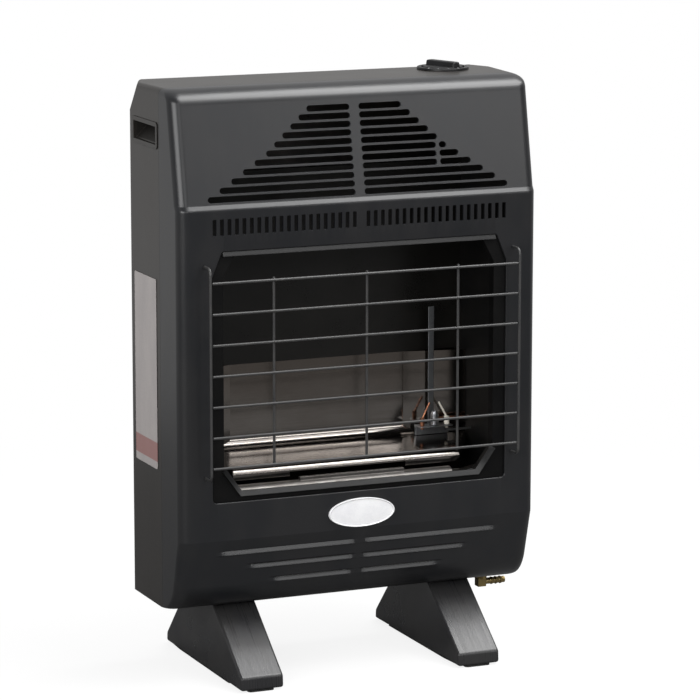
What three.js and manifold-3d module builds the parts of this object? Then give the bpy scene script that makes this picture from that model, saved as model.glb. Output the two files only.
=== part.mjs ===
// A slim free-standing flueless gas heater on two splayed feet, fed by a low-pressure gas hose.
// Millimetres, +Z up, +X to the right of someone facing the front, front towards -Y.
// The origin is on the floor, under the middle of the heater.
import * as THREE from 'three';
import { mergeVertices } from 'three/addons/utils/BufferGeometryUtils.js';
import Module from 'manifold-3d';

const wasm = await Module();
wasm.setup();

// ---------------------------------------------------------------- driving sizes

const GAP = 0.3; // clearance between pieces that touch
const CUT = 1; // how far a cutting tool runs past the face it cuts

// Cabinet envelope
const CABINET_WIDTH = 420;
const CABINET_DEPTH = 150;
const CABINET_HEIGHT = 568;
const BASE_Z = 80; // underside of the cabinet above the floor
const BACK_Y = 65; // outer face of the back panel
const MOULDING_DEPTH = 59; // the front moulding reaches back to the seam
const CORNER_RADIUS = 12; // upright corners of the front
const SHOULDER_RADIUS = 8; // rounded shoulders along the top edges of the sides
const HEEL_DROP = 38; // the two rear upright corners are cut back over this height
const HEEL_WIDTH = 9; // how far they are cut back at the top, across and in depth
const HEEL_DEPTH = 25;
const HEEL_LEAST = 0.06; // share of that cut on the same corners lower down

// Side profile of the front: setbacks from its flat, rises from the underside, drops from the top
const TOE_SETBACK = 53; // where the underside starts to curve up
const TOE_BULGE_SETBACK = 25;
const TOE_BULGE_RISE = 2;
const APRON_SETBACK = 15; // lower end of the leaning apron
const APRON_LOW_RISE = 29;
const APRON_HIGH_RISE = 83; // the front is upright from here up to the ledge
const LEDGE_DROP = 128;
const LEDGE_DEPTH = 3.4;
const LEDGE_HEIGHT = 4;
const LEDGE_CROWN = 0.6;
const BROW_SETBACK = 23.5; // top end of the leaning louvre panel
const BROW_DROP = 15;
const TOP_FLAT_SETBACK = 51; // the flat of the top starts here

// Walls
const SHEET = 1.2;
const FASCIA_WALL = 2.5;
const LIP_LENGTH = 2.5; // tongue of the front moulding inside the casing
const REAR_FLANGE = 12;

// Window and its black surround
const SIDE_BORDER = 37;
const WINDOW_RISE = 125;
const WINDOW_BELOW_LEDGE = 42;
const WINDOW_CHAMFER_WIDTH = 12;
const WINDOW_CHAMFER_HEIGHT = 29;
const WINDOW_CORNER = 5;
const BEZEL_SIDE = 14; // how far the surround shows inside the window
const BEZEL_SILL = 9;
const BEZEL_HEAD = 4;
const APERTURE_CHAMFER_TOP = 14;
const APERTURE_CHAMFER_LOW = 19;
const APERTURE_CHAMFER_HEIGHT = 26;
const BEZEL_SIDE_OVERLAP = 2.4; // how far it reaches behind the window's edge
const BEZEL_END_OVERLAP = 4.8;
const BEZEL_DEPTH = 12;

// Firebox
const FIREBOX_MARGIN = 3; // beyond the window on each side
const FIREBOX_BACK_SPACE = 23.7;
const FIREBOX_DROP = 15; // below the window
const FIREBOX_BACK_DROP = 103;
const FIREBOX_LEG_DEPTH = 33;
const FIREBOX_CLEARANCE = 1; // between the side walls and the leaning louvre panel
const WALL_NOSE_DROP = 10;
const WALL_NOSE_DEPTH = 4;
const DEFLECTOR_SETBACK = 30;
const DEFLECTOR_DROP = 20;
const DEFLECTOR_SKIRT = 25;
const HEAT_SHIELD_SPACE = 13;
const HEAT_SHIELD_MARGIN = 10;
const HEAT_SHIELD_TOP_MARGIN = 40;
const SPACER_HALF_WIDTH = 20;
const SPACER_HEIGHT = 30;
const SPACER_RISE = 110;

// Polished reflector and its tray
const REFLECTOR_RISE = 140;
const REFLECTOR_THICKNESS = 1;
const REFLECTOR_SIDE_GAP = 0.4;
const TRAY_BEND_RISE = 52;
const TRAY_BEND_RADIUS = 9;
const TRAY_LIP_SETBACK = 37;
const TRAY_LIP_RISE = 40;
const TRAY_LIP_DROP = 11;
const TRAY_LIP_THICKNESS = 1.4;
const TRAY_FRONT_INSET = 51;
const TRAY_CORNER_DEPTH = 68;
const TRAY_NOTCH_HALF_WIDTH = 69;
const TRAY_NOTCH_DROP = 3;

// Openings in the front moulding
const LOUVRE_ROWS = 11;
const LOUVRE_PITCH = 9.01;
const LOUVRE_FIRST_RISE = 13.2; // lowest row above the ledge
const LOUVRE_HEIGHT = 5;
const LOUVRE_TOP_REACH = 55; // half length of the top louvre
const LOUVRE_STEP_UPPER = 10; // each row of the upper flank is this much longer
const LOUVRE_STEP_LOWER = 14;
const LOUVRE_UPPER_ROWS = 5;
const LOUVRE_RIB_X = 95;
const LOUVRE_RIB_WIDTH = 4;
const LOUVRE_RIB_FIRST_ROW = 3;
const LOUVRE_RIB_LAST_ROW = 5;
const SPINE_HALF_WIDTH = 5.5; // plain bar between the two halves
const OUTLET_SLOTS = 20;
const OUTLET_PITCH = 8.5;
const OUTLET_FIRST_X = 8;
const OUTLET_WIDTH = 4.4;
const OUTLET_LENGTH = 17;
const OUTLET_DROP = 7.5; // below the ledge
const GROOVE_HEIGHT = 4.6;
const GROOVE_DEPTH = 1.4;
const GROOVE_START_X = 4;
const GROOVE_REACH = [169, 133.5, 104];
const GROOVE_RISE = [68, 50, 31.5];

// Guard
const WIRE_RADIUS = 1.5;
const GUARD_STANDOFF = 17;
const GUARD_MARGIN = 8; // beyond the window on each side
const GUARD_RISE = 43.8; // lowest bar above the window's sill
const GUARD_DROP = 30; // highest bar below the top of the window
const GUARD_ROWS = 7;
const GUARD_UPRIGHT_X = 108;
const GUARD_UPRIGHT_OVERRUN = 3;
const GUARD_ROD_OVERRUN = 15;
const GUARD_BEND = 7;
const WELD_SINK = 0.4; // how far the uprights are melted into the bars
const ROD_END_LENGTH = 2; // what shows of a rod behind its clip
const CLIP_RADIUS = 4.4;

// Badge, label and hand slots
const BADGE_HALF_WIDTH = 39;
const BADGE_HALF_HEIGHT = 16.2;
const BADGE_RISE = 101;
const BADGE_THICKNESS = 2.6;
const SIDE_FITTING_INSET = 13; // label and hand slots end this far before the back
const LABEL_FROM_SEAM = 11;
const LABEL_RISE = 152;
const LABEL_HEIGHT = 209;
const LABEL_THICKNESS = 0.4;
const LABEL_CORNER = 2;
const SLOT_FROM_SEAM = 6;
const SLOT_DROP = 40;
const SLOT_HEIGHT = 23;
const SLOT_DEPTH = 17;
const SLOT_CORNER = 4;
const SLOT_BACK_HEIGHT = 7; // upright back of the pocket under its roof
const GRIP_WALL = 1.6;
const GRIP_RIM = 3;
const GRIP_RIM_THICKNESS = 0.7;
const GRIP_SILL = 1;

// Knob, tap and igniter
const KNOB_INSET_X = 60;
const KNOB_INSET_Y = 30;
const KNOB_RADIUS = 22.5;
const KNOB_TRAVEL = 4;
const KNOB_SINK = 1;
const KNOB_SKIRT_HEIGHT = 4.5;
const KNOB_EDGE = 1.4;
const KNOB_GRIP_HEIGHT = 5.5;
const KNOB_GRIP_LENGTH = 40;
const KNOB_GRIP_WIDTH = 10;
const KNOB_GRIP_CORNER = 1.8;
const KNOB_GRIP_ROOT = 3;
const KNOB_GRIP_TURN = 30; // degrees, anticlockwise from the front-to-back line
const KNOB_HUB_LENGTH = 3;
const KNOB_HUB_WALL = 2.5;
const KNOB_ROOF = 1;
const WELL_DEPTH = 7;
const WELL_CLEARANCE = 1.5;
const WELL_WALL = 1.4;
const WELL_FLANGE = 5;
const WELL_FLANGE_RISE = 2.6;
const WELL_EDGE = 0.8;
const SPINDLE_RADIUS = 3;
const SPINDLE_FLAT = 1;
const SPINDLE_FLAT_LENGTH = 8;
const SPINDLE_END_SPACE = 2;
const TAP_HALF = 14;
const TAP_DROP = 18;
const TAP_HEIGHT = 38;
const TAP_NECK = 6;
const TAP_NECK_WALL = 4;
const TAP_FLOOR = 4;
const TAP_PLUG_RADIUS = 7;
const TAP_PLUG_HEIGHT = 28;
const TAP_PLUG_FLOOR = 8;
const TAP_GASWAY = 2;
const INLET_PORT_RISE = 22;
const OUTLET_PORT_RISE = 8;
const PORT_DEPTH = 5;
const PORT_SPACING = 8; // inlet port behind the middle, pilot port before it
const PIEZO_SPACING = 28;
const PIEZO_RADIUS = 8;
const PIEZO_HEIGHT = 26;
const PIEZO_PLUNGER_RADIUS = 4.5;
const PIEZO_PLUNGER_RISE = 8;
const TERMINAL_RADIUS = 2.4;
const TERMINAL_RISE = 8;
const TERMINAL_LENGTH = 5;
const BRACKET_MARGIN = 4;
const BRACKET_BACK_HEIGHT = 34;

// Pipes
const INLET_PIPE_RADIUS = 4;
const BURNER_PIPE_RADIUS = 3;
const PILOT_PIPE_RADIUS = 2;
const LEAD_RADIUS = 1.4;
const SIDE_PIPE_SPACE = 3.8; // between the firebox and the widest of the upright pipes
const INLET_PIPE_BEND = 10;
const INLET_PIPE_STRAIGHT = 18;
const INLET_PIPE_SLANT = 38;
const BURNER_PIPE_BEND = 6;
const THIN_PIPE_BEND = 4;
const PILOT_PIPE_SLANT = 24;
const PILOT_PIPE_PASS = 6.5; // how far it swings back to pass the electrode
const PILOT_PIPE_SWING = 11;

// Gas inlet
const INLET_INSET = 30;
const INLET_FROM_SEAM = 16;
const INLET_DROP = 12.5;
const INLET_RADIUS = 4.5;
const INLET_STEM_RISE = 16;
const INLET_TAIL_RADIUS = 3.7;
const INLET_TAIL_INSET = 0.5;
const INLET_KNUCKLE = 5; // half width of the elbow's square body
const INLET_HEXAGON = 7;
const INLET_BORE = 2.3;
const HOSE_RIBS = 3;
const HOSE_RIB_PITCH = 5.5;
const HOSE_RIB_LENGTH = 4.5;
const HOSE_RIB_RISE = 0.9;
const HOSE_RIBS_LENGTH = 17;
const INLET_NUT_RADIUS = 9;
const INLET_NUT_HEIGHT = 6;

// Burner
const BURNER_SETBACK = 27;
const BURNER_RISE = 15;
const BURNER_RADIUS = 12;
const BURNER_WALL = 1.2;
const BURNER_LEFT_SPACE = 26;
const BURNER_RIGHT_SPACE = 58;
const PORT_STRIP_HALF_WIDTH = 62;
const PORT_STRIP_HALF_DEPTH = 3;
const PORT_STRIP_RISE = 15;
const PORT_COUNT = 20;
const PORT_MARGIN = 3;
const PORT_HALF_WIDTH = 1;
const PORT_HALF_DEPTH = 1.6;
const VENTURI_LENGTH = 37.7;
const VENTURI_THROAT = 7;
const VENTURI_THROAT_LENGTH = 15;
const VENTURI_MOUTH = 10;
const VENTURI_MOUTH_LENGTH = 5;
const VENTURI_LEG_WIDTH = 4;
const VENTURI_LEG_DEPTH = 6;
const INJECTOR_RADIUS = 5.5;
const INJECTOR_STEP = 1.5;
const INJECTOR_HEXAGON_LENGTH = 14;
const INJECTOR_LENGTH = 25;
const INJECTOR_SOCKET = 7;
const INJECTOR_JET = 0.8;
const SHELF_HALF_DEPTH = 9;
const SHELF_REACH = 14;
const EAR_START = 8;
const EAR_END = 24;
const EAR_RISE = 22;

// Pilot
const PILOT_INSET = 43;
const PILOT_FROM_BACK = 26.3;
const PILOT_SHELF_RISE = 6; // above the tray's bend
const PILOT_SHELF_FRONT = 7;
const PILOT_SHELF_END = 5;
const PILOT_STRIP_WIDTH = 7;
const PILOT_STRIP_HEIGHT = 134;
const PILOT_STRIP_FROM_BACK = 16.3;
const PILOT_LEG_DEPTH = 3;
const PILOT_STEM_RADIUS = 2;
const PILOT_BURNER_RADIUS = 4.5;
const PILOT_BURNER_HEIGHT = 12;
const PILOT_HOOD_HEIGHT = 4;
const PILOT_HOOD_TAPER = 1.5;
const PILOT_MOUTH = 1.6;
const PILOT_BORE_START = 1.5;
const PILOT_PIPE_RISE = 6;
const LEAD_DROP = 5.7;
const LEAD_FROM_PILOT = 5;
const PROBE_OFFSET = 15;
const PROBE_TIP_RADIUS = 1.2;
const PROBE_COLLAR_HEIGHT = 9;
const PROBE_TIP_RISE = 18;
const THERMOCOUPLE_RADIUS = 2.6;
const THERMOCOUPLE_REACH = 9;
const ELECTRODE_RADIUS = 3.2;
const ELECTRODE_REACH = 10;

// Feet
const FOOT_INSET = 81;
const FOOT_HALF_WIDTH = 24.8;
const FOOT_TOE_LENGTH = 31; // in front of the cabinet
const FOOT_HEEL_LENGTH = 51; // behind it
const FOOT_LIP = 14;
const FOOT_HEEL_LIP = 11;
const FOOT_LEAN = 1;
const FOOT_SEAT_INSET = 13;
const FOOT_WALL = 3;
const FOOT_ROOF = 4;
const FOOT_SHELL_STEP = 4;
const PAD_THICKNESS = 2;
const PAD_LENGTH = 34;
const PAD_WIDTH = 30;
const PAD_INSET = 2;
const PAD_CORNER = 4;
const FOOT_SCREW_PITCH = 40;
const FOOT_SCREW_SETBACK = 24; // front screw behind the foot's front shoulder
const FOOT_SCREW_RADIUS = 2.5;
const FOOT_SCREW_HEAD_RADIUS = 4.6;
const FOOT_SCREW_HEAD = 4;
const FOOT_SCREW_END = 7;

// Air slots and back screws
const AIR_SLOT_HEIGHT = 5;
const BACK_SLOT_LENGTH = 78;
const BACK_SLOT_SPACE = 20;
const BACK_SLOT_ROWS = 6;
const BACK_SLOT_PITCH = 12;
const BACK_SLOT_RISE = 34;
const BASE_SLOT_LENGTH = 156;
const BASE_SLOT_ROWS = 5;
const BASE_SLOT_PITCH = 13;
const BASE_SLOT_START = 16;
const SCREW_RADIUS = 1.7;
const SCREW_HEAD_RADIUS = 3.6;
const SCREW_HEAD = 1.7;
const SCREW_INSET = 7;
const SCREW_RISE = 30;
const SCREW_TIP = 3;

// ---------------------------------------------------------------- sizes worked out from them

const HALF_WIDTH = CABINET_WIDTH / 2;
const CABINET_TOP = BASE_Z + CABINET_HEIGHT;
const FRONT_Y = BACK_Y - CABINET_DEPTH;
const SEAM_Y = FRONT_Y + MOULDING_DEPTH;
const HEEL_START_Z = CABINET_TOP - HEEL_DROP;
const TOE_Y = FRONT_Y + TOE_SETBACK;
const APRON_LOW_Z = BASE_Z + APRON_LOW_RISE;
const LEDGE_Z = CABINET_TOP - LEDGE_DROP;
const BROW_Y = FRONT_Y + BROW_SETBACK;
const BROW_Z = CABINET_TOP - BROW_DROP;
const TOP_FLAT_Y = FRONT_Y + TOP_FLAT_SETBACK;
const FLOOR_TOP_Z = BASE_Z + SHEET;
const FASCIA_INNER_Y = FRONT_Y + FASCIA_WALL;
const BACK_PANEL_FRONT_Y = BACK_Y - SHEET;
const FLANGE_FRONT_Y = BACK_PANEL_FRONT_Y - GAP - SHEET;

const WINDOW_HALF_WIDTH = HALF_WIDTH - SIDE_BORDER;
const WINDOW_BOTTOM = BASE_Z + WINDOW_RISE;
const WINDOW_TOP = LEDGE_Z - WINDOW_BELOW_LEDGE;
const BEZEL_FRONT_Y = FASCIA_INNER_Y + GAP;
const FIREBOX_HALF_WIDTH = WINDOW_HALF_WIDTH + FIREBOX_MARGIN;
const FIREBOX_OUTER_X = FIREBOX_HALF_WIDTH + SHEET;
const FIREBOX_FRONT_Y = BEZEL_FRONT_Y + SHEET + GAP;
const FIREBOX_BACK_Y = BACK_Y - FIREBOX_BACK_SPACE;
const FIREBOX_BOTTOM = WINDOW_BOTTOM - FIREBOX_DROP;
const FIREBOX_BACK_TOP = CABINET_TOP - FIREBOX_BACK_DROP;
const DEFLECTOR_FRONT_Y = FRONT_Y + DEFLECTOR_SETBACK;
const DEFLECTOR_FRONT_Z = CABINET_TOP - DEFLECTOR_DROP;
const HEAT_SHIELD_Y = BACK_Y - HEAT_SHIELD_SPACE;

const REFLECTOR_Y = FIREBOX_BACK_Y - GAP - REFLECTOR_THICKNESS / 2;
const TRAY_BEND_Z = FIREBOX_BOTTOM + TRAY_BEND_RISE;
const TRAY_LIP_Y = FRONT_Y + TRAY_LIP_SETBACK;
const TRAY_LIP_Z = FIREBOX_BOTTOM + TRAY_LIP_RISE;
const TRAY_CORNER_Y = TRAY_LIP_Y + TRAY_CORNER_DEPTH;
const TRAY_SLOPE = (TRAY_BEND_Z - TRAY_LIP_Z) / (REFLECTOR_Y - TRAY_LIP_Y);

const GUARD_Y = FRONT_Y - GUARD_STANDOFF;
const GUARD_HALF_WIDTH = WINDOW_HALF_WIDTH + GUARD_MARGIN;
const GUARD_BOTTOM_Z = WINDOW_BOTTOM + GUARD_RISE;
const GUARD_TOP_Z = WINDOW_TOP - GUARD_DROP;
const GUARD_PITCH = (GUARD_TOP_Z - GUARD_BOTTOM_Z) / (GUARD_ROWS - 1);
const GUARD_ROD_BOTTOM = GUARD_BOTTOM_Z - GUARD_ROD_OVERRUN;
const GUARD_ROD_TOP = GUARD_TOP_Z + GUARD_ROD_OVERRUN;

const SLOT_FRONT_Y = SEAM_Y + SLOT_FROM_SEAM;
const SLOT_BACK_Y = BACK_Y - SIDE_FITTING_INSET;
const SLOT_TOP = CABINET_TOP - SLOT_DROP;
const SLOT_BOTTOM = SLOT_TOP - SLOT_HEIGHT;

const KNOB_X = HALF_WIDTH - KNOB_INSET_X;
const KNOB_Y = BACK_Y - KNOB_INSET_Y;
const KNOB_SKIRT_BOTTOM = CABINET_TOP - KNOB_SINK;
const KNOB_SKIRT_TOP = KNOB_SKIRT_BOTTOM + KNOB_SKIRT_HEIGHT;
const WELL_RADIUS = KNOB_RADIUS + WELL_CLEARANCE;
const WELL_FLOOR_Z = CABINET_TOP - WELL_DEPTH;
const TAP_TOP = CABINET_TOP - TAP_DROP;
const TAP_BOTTOM = TAP_TOP - TAP_HEIGHT;
const TAP_PLUG_BOTTOM = TAP_BOTTOM + TAP_FLOOR;
const TAP_PLUG_TOP = TAP_PLUG_BOTTOM + TAP_PLUG_HEIGHT;
const TAP_RIGHT_X = KNOB_X + TAP_HALF;
const PIPE_START_X = TAP_RIGHT_X - PORT_DEPTH + GAP;
const INLET_PORT_Y = KNOB_Y + PORT_SPACING;
const PILOT_PORT_Y = KNOB_Y - PORT_SPACING;
const INLET_PORT_Z = TAP_BOTTOM + INLET_PORT_RISE;
const OUTLET_PORT_Z = TAP_BOTTOM + OUTLET_PORT_RISE;
const PIEZO_X = KNOB_X - PIEZO_SPACING;
const TERMINAL_Z = TAP_BOTTOM + TERMINAL_RISE;
const SIDE_PIPE_X = FIREBOX_OUTER_X + SIDE_PIPE_SPACE + INLET_PIPE_RADIUS;

const INLET_X = HALF_WIDTH - INLET_INSET;
const INLET_Y = SEAM_Y + INLET_FROM_SEAM;
const INLET_Z = BASE_Z - INLET_DROP;
const INLET_END_X = HALF_WIDTH - INLET_TAIL_INSET;
const INLET_STEM_TOP = BASE_Z + INLET_STEM_RISE;

const BURNER_Y = FRONT_Y + BURNER_SETBACK;
const BURNER_Z = FIREBOX_BOTTOM + BURNER_RISE;
const BURNER_LEFT_X = BURNER_LEFT_SPACE - FIREBOX_HALF_WIDTH;
const BURNER_RIGHT_X = FIREBOX_HALF_WIDTH - BURNER_RIGHT_SPACE;
const VENTURI_START_X = BURNER_RIGHT_X + GAP;
const VENTURI_END_X = VENTURI_START_X + VENTURI_LENGTH;

const PILOT_X = FIREBOX_HALF_WIDTH - PILOT_INSET;
const PILOT_Y = FIREBOX_BACK_Y - PILOT_FROM_BACK;
const PILOT_STRIP_Y = FIREBOX_BACK_Y - PILOT_STRIP_FROM_BACK;
const PILOT_SHELF_Z = TRAY_BEND_Z + PILOT_SHELF_RISE;
const PILOT_PIPE_Z = PILOT_SHELF_Z + PILOT_PIPE_RISE;
const LEAD_Z = PILOT_SHELF_Z - LEAD_DROP;
const LEAD_Y = PILOT_Y - LEAD_FROM_PILOT;

const FOOT_X = HALF_WIDTH - FOOT_INSET;
const FOOT_FRONT_Y = FRONT_Y - FOOT_TOE_LENGTH;
const FOOT_BACK_Y = BACK_Y + FOOT_HEEL_LENGTH;
const FOOT_BOTTOM = PAD_THICKNESS + GAP;
const FOOT_TOP = BASE_Z - GAP;
const FOOT_TOP_BACK_Y = BACK_Y - FOOT_SEAT_INSET;
const FOOT_SCREW_FRONT_Y = TOE_Y + FOOT_SCREW_SETBACK;
const FOOT_SCREW_BACK_Y = FOOT_SCREW_FRONT_Y + FOOT_SCREW_PITCH;

// ---------------------------------------------------------------- colours

/** Plain material of one piece. */
function finish(color, roughness, metalness) {
  return new THREE.MeshStandardMaterial({ color, roughness, metalness });
}

const CHARCOAL = finish(0x2b2c30, 0.45, 0.2);
const MATT_BLACK = finish(0x141414, 0.7, 0.1);
const DARK_STEEL = finish(0x2a2825, 0.6, 0.6);
const POLISHED = finish(0xb8b2a8, 0.15, 1);
const ZINC = finish(0x9a9c9e, 0.4, 0.9);
const WIRE = finish(0x5c5e60, 0.35, 0.8);
const BRASS = finish(0xc9a24d, 0.3, 1);
const COPPER = finish(0xb56b45, 0.35, 1);
const BLACK_PLASTIC = finish(0x17181a, 0.4, 0);
const FOOT_PLASTIC = finish(0x37383c, 0.4, 0.1);
const RUBBER = finish(0x101010, 0.9, 0);
const WHITE_BADGE = finish(0xf2f2f2, 0.25, 0);
const LABEL_GREY = finish(0xa8a3a0, 0.5, 0.1);
const CERAMIC = finish(0xe9e4d8, 0.4, 0);

// ---------------------------------------------------------------- solids

/** Turns closed three.js geometry into a solid that can be joined and cut. */
function solid(geometry) {
  const bare = geometry.clone();
  bare.deleteAttribute('normal');
  bare.deleteAttribute('uv');
  const merged = mergeVertices(bare, 1e-5);
  const vertProperties = new Float32Array(merged.attributes.position.array);
  const triVerts = new Uint32Array(merged.index.array);
  return new wasm.Manifold(new wasm.Mesh({ numProp: 3, vertProperties, triVerts }));
}

/** Box between two corners. */
function box(x0, x1, y0, y1, z0, z1) {
  const geometry = new THREE.BoxGeometry(x1 - x0, y1 - y0, z1 - z0);
  geometry.translate((x0 + x1) / 2, (y0 + y1) / 2, (z0 + z1) / 2);
  return solid(geometry);
}

/** Closed outline through [a, b] points. */
function outline(points) {
  return new THREE.Shape(points.map(([a, b]) => new THREE.Vector2(a, b)));
}

/** Outline in the XY plane, extruded from z0 to z1. */
function prismZ(shape, z0, z1, curveSegments = 6) {
  const geometry = new THREE.ExtrudeGeometry(shape, { depth: z1 - z0, bevelEnabled: false, curveSegments });
  geometry.translate(0, 0, z0);
  return solid(geometry);
}

/** Outline in the XZ plane, extruded from y0 to y1. */
function prismY(shape, y0, y1, curveSegments = 6) {
  const geometry = new THREE.ExtrudeGeometry(shape, { depth: y1 - y0, bevelEnabled: false, curveSegments });
  geometry.rotateX(Math.PI / 2);
  geometry.translate(0, y1, 0);
  return solid(geometry);
}

/** Outline in the YZ plane, extruded from x0 to x1. */
function prismX(shape, x0, x1, curveSegments = 6) {
  const geometry = new THREE.ExtrudeGeometry(shape, { depth: x1 - x0, bevelEnabled: false, curveSegments });
  geometry.rotateZ(Math.PI / 2);
  geometry.rotateY(Math.PI / 2);
  geometry.translate(x0, 0, 0);
  return solid(geometry);
}

/** Upright round bar. */
function rodZ(x, y, z0, z1, radius, segments = 16, topRadius = radius) {
  const geometry = new THREE.CylinderGeometry(topRadius, radius, z1 - z0, segments);
  geometry.rotateX(Math.PI / 2);
  geometry.translate(x, y, (z0 + z1) / 2);
  return solid(geometry);
}

/** Round bar along X. */
function rodX(y, z, x0, x1, radius, segments = 16, endRadius = radius) {
  const geometry = new THREE.CylinderGeometry(radius, endRadius, x1 - x0, segments);
  geometry.rotateZ(Math.PI / 2);
  geometry.translate((x0 + x1) / 2, y, z);
  return solid(geometry);
}

/** Round bar along Y. */
function rodY(x, z, y0, y1, radius, segments = 16) {
  const geometry = new THREE.CylinderGeometry(radius, radius, y1 - y0, segments);
  geometry.translate(x, (y0 + y1) / 2, z);
  return solid(geometry);
}

/** Straight round bar between two points. */
function rodBetween(start, end, radius, segments = 8) {
  const from = new THREE.Vector3(...start);
  const along = new THREE.Vector3(...end).sub(from);
  const geometry = new THREE.CylinderGeometry(radius, radius, along.length(), segments);
  geometry.translate(0, along.length() / 2, 0);
  const upright = new THREE.Vector3(0, 1, 0);
  const turn = new THREE.Quaternion().setFromUnitVectors(upright, along.clone().normalize());
  geometry.applyQuaternion(turn);
  geometry.translate(from.x, from.y, from.z);
  return solid(geometry);
}

/** Path that steps from station to station, with a tangent at each that looks both ways. */
class StationPath extends THREE.Curve {
  constructor(stations) {
    super();
    this.stations = stations;
  }

  station(share) {
    return Math.round(share * (this.stations.length - 1));
  }

  getPoint(share, target = new THREE.Vector3()) {
    return target.copy(this.stations[this.station(share)]);
  }

  getPointAt(share, target) {
    return this.getPoint(share, target);
  }

  getTangentAt(share, target = new THREE.Vector3()) {
    const before = Math.max(this.station(share) - 1, 0);
    const after = Math.min(this.station(share) + 1, this.stations.length - 1);
    return target.copy(this.stations[after]).sub(this.stations[before]).normalize();
  }
}

/** Bent tube or wire through corner points, each corner rounded to the bend radius. */
function bentRod(points, radius, bend, sides = 8, bendSteps = 4) {
  const corners = points.map((p) => new THREE.Vector3(...p));
  const stations = [corners[0]];
  for (let i = 1; i < corners.length - 1; i += 1) {
    const back = corners[i - 1].clone().sub(corners[i]).normalize().multiplyScalar(bend);
    const ahead = corners[i + 1].clone().sub(corners[i]).normalize().multiplyScalar(bend);
    const arc = new THREE.QuadraticBezierCurve3(
      corners[i].clone().add(back),
      corners[i].clone(),
      corners[i].clone().add(ahead),
    );
    stations.push(...arc.getPoints(bendSteps));
  }
  stations.push(corners[corners.length - 1]);
  const ring = [];
  for (let k = 0; k < sides; k += 1) {
    const angle = (2 * Math.PI * k) / sides;
    ring.push([radius * Math.cos(angle), radius * Math.sin(angle)]);
  }
  return solid(new THREE.ExtrudeGeometry(outline(ring), {
    steps: stations.length - 1,
    bevelEnabled: false,
    extrudePath: new StationPath(stations),
  }));
}

/** Closed surface over stacked rings of equal count, with a fan over each end. */
function skin(positions, rings, count) {
  const index = [];
  for (let r = 0; r < rings - 1; r += 1) {
    for (let k = 0; k < count; k += 1) {
      const a = r * count + k;
      const b = r * count + ((k + 1) % count);
      index.push(a, b, b + count, a, b + count, a + count);
    }
  }
  const last = (rings - 1) * count;
  for (let k = 1; k < count - 1; k += 1) {
    index.push(0, k + 1, k);
    index.push(last, last + k, last + k + 1);
  }
  const geometry = new THREE.BufferGeometry();
  geometry.setAttribute('position', new THREE.Float32BufferAttribute(positions, 3));
  geometry.setIndex(index);
  return geometry;
}

/** Slot with round ends, centred on (a, b), lying along the first axis. */
function slotShape(a0, a1, b, height) {
  const r = height / 2;
  const shape = new THREE.Shape();
  shape.moveTo(a0 + r, b - r);
  shape.lineTo(a1 - r, b - r);
  shape.absarc(a1 - r, b, r, -Math.PI / 2, Math.PI / 2, false);
  shape.lineTo(a0 + r, b + r);
  shape.absarc(a0 + r, b, r, Math.PI / 2, (3 * Math.PI) / 2, false);
  return shape;
}

/** Rectangle with rounded corners. */
function roundedRectangle(a0, a1, b0, b1, r) {
  const shape = new THREE.Shape();
  shape.moveTo(a0 + r, b0);
  shape.lineTo(a1 - r, b0);
  shape.absarc(a1 - r, b0 + r, r, -Math.PI / 2, 0, false);
  shape.lineTo(a1, b1 - r);
  shape.absarc(a1 - r, b1 - r, r, 0, Math.PI / 2, false);
  shape.lineTo(a0 + r, b1);
  shape.absarc(a0 + r, b1 - r, r, Math.PI / 2, Math.PI, false);
  shape.lineTo(a0, b0 + r);
  shape.absarc(a0 + r, b0 + r, r, Math.PI, (3 * Math.PI) / 2, false);
  return shape;
}

/** Outline of a bent sheet: the given line with half the thickness on each side. */
function bentSheet(points, thickness) {
  const line = points.map(([a, b]) => new THREE.Vector2(a, b));
  const half = thickness / 2;
  const normals = line.map((point, i) => {
    const before = line[Math.max(i - 1, 0)];
    const after = line[Math.min(i + 1, line.length - 1)];
    const into = point.clone().sub(before).normalize();
    const out = after.clone().sub(point).normalize();
    const along = into.add(out).normalize();
    return new THREE.Vector2(-along.y, along.x);
  });
  const left = line.map((point, i) => point.clone().addScaledVector(normals[i], half));
  const right = line.map((point, i) => point.clone().addScaledVector(normals[i], -half)).reverse();
  return new THREE.Shape([...left, ...right]);
}

/** All of a list of solids in one. */
function join(parts) {
  return parts.reduce((sum, part) => sum.add(part));
}

/** A solid with a list of solids cut away. */
function cut(body, tools) {
  return tools.length ? body.subtract(join(tools)) : body;
}

const heater = new THREE.Group();

/** Adds a named piece to the heater. */
function place(name, body, material) {
  const { numProp, vertProperties, triVerts } = body.getMesh();
  const geometry = new THREE.BufferGeometry();
  const positions = new Float32Array((vertProperties.length / numProp) * 3);
  for (let i = 0; i < positions.length / 3; i += 1) {
    positions.set(vertProperties.subarray(i * numProp, i * numProp + 3), i * 3);
  }
  geometry.setAttribute('position', new THREE.BufferAttribute(positions, 3));
  geometry.setIndex(new THREE.BufferAttribute(new Uint32Array(triVerts), 1));
  const mesh = new THREE.Mesh(geometry, material.clone());
  mesh.name = name;
  heater.add(mesh);
  return mesh;
}

// ---------------------------------------------------------------- cabinet outer form

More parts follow.
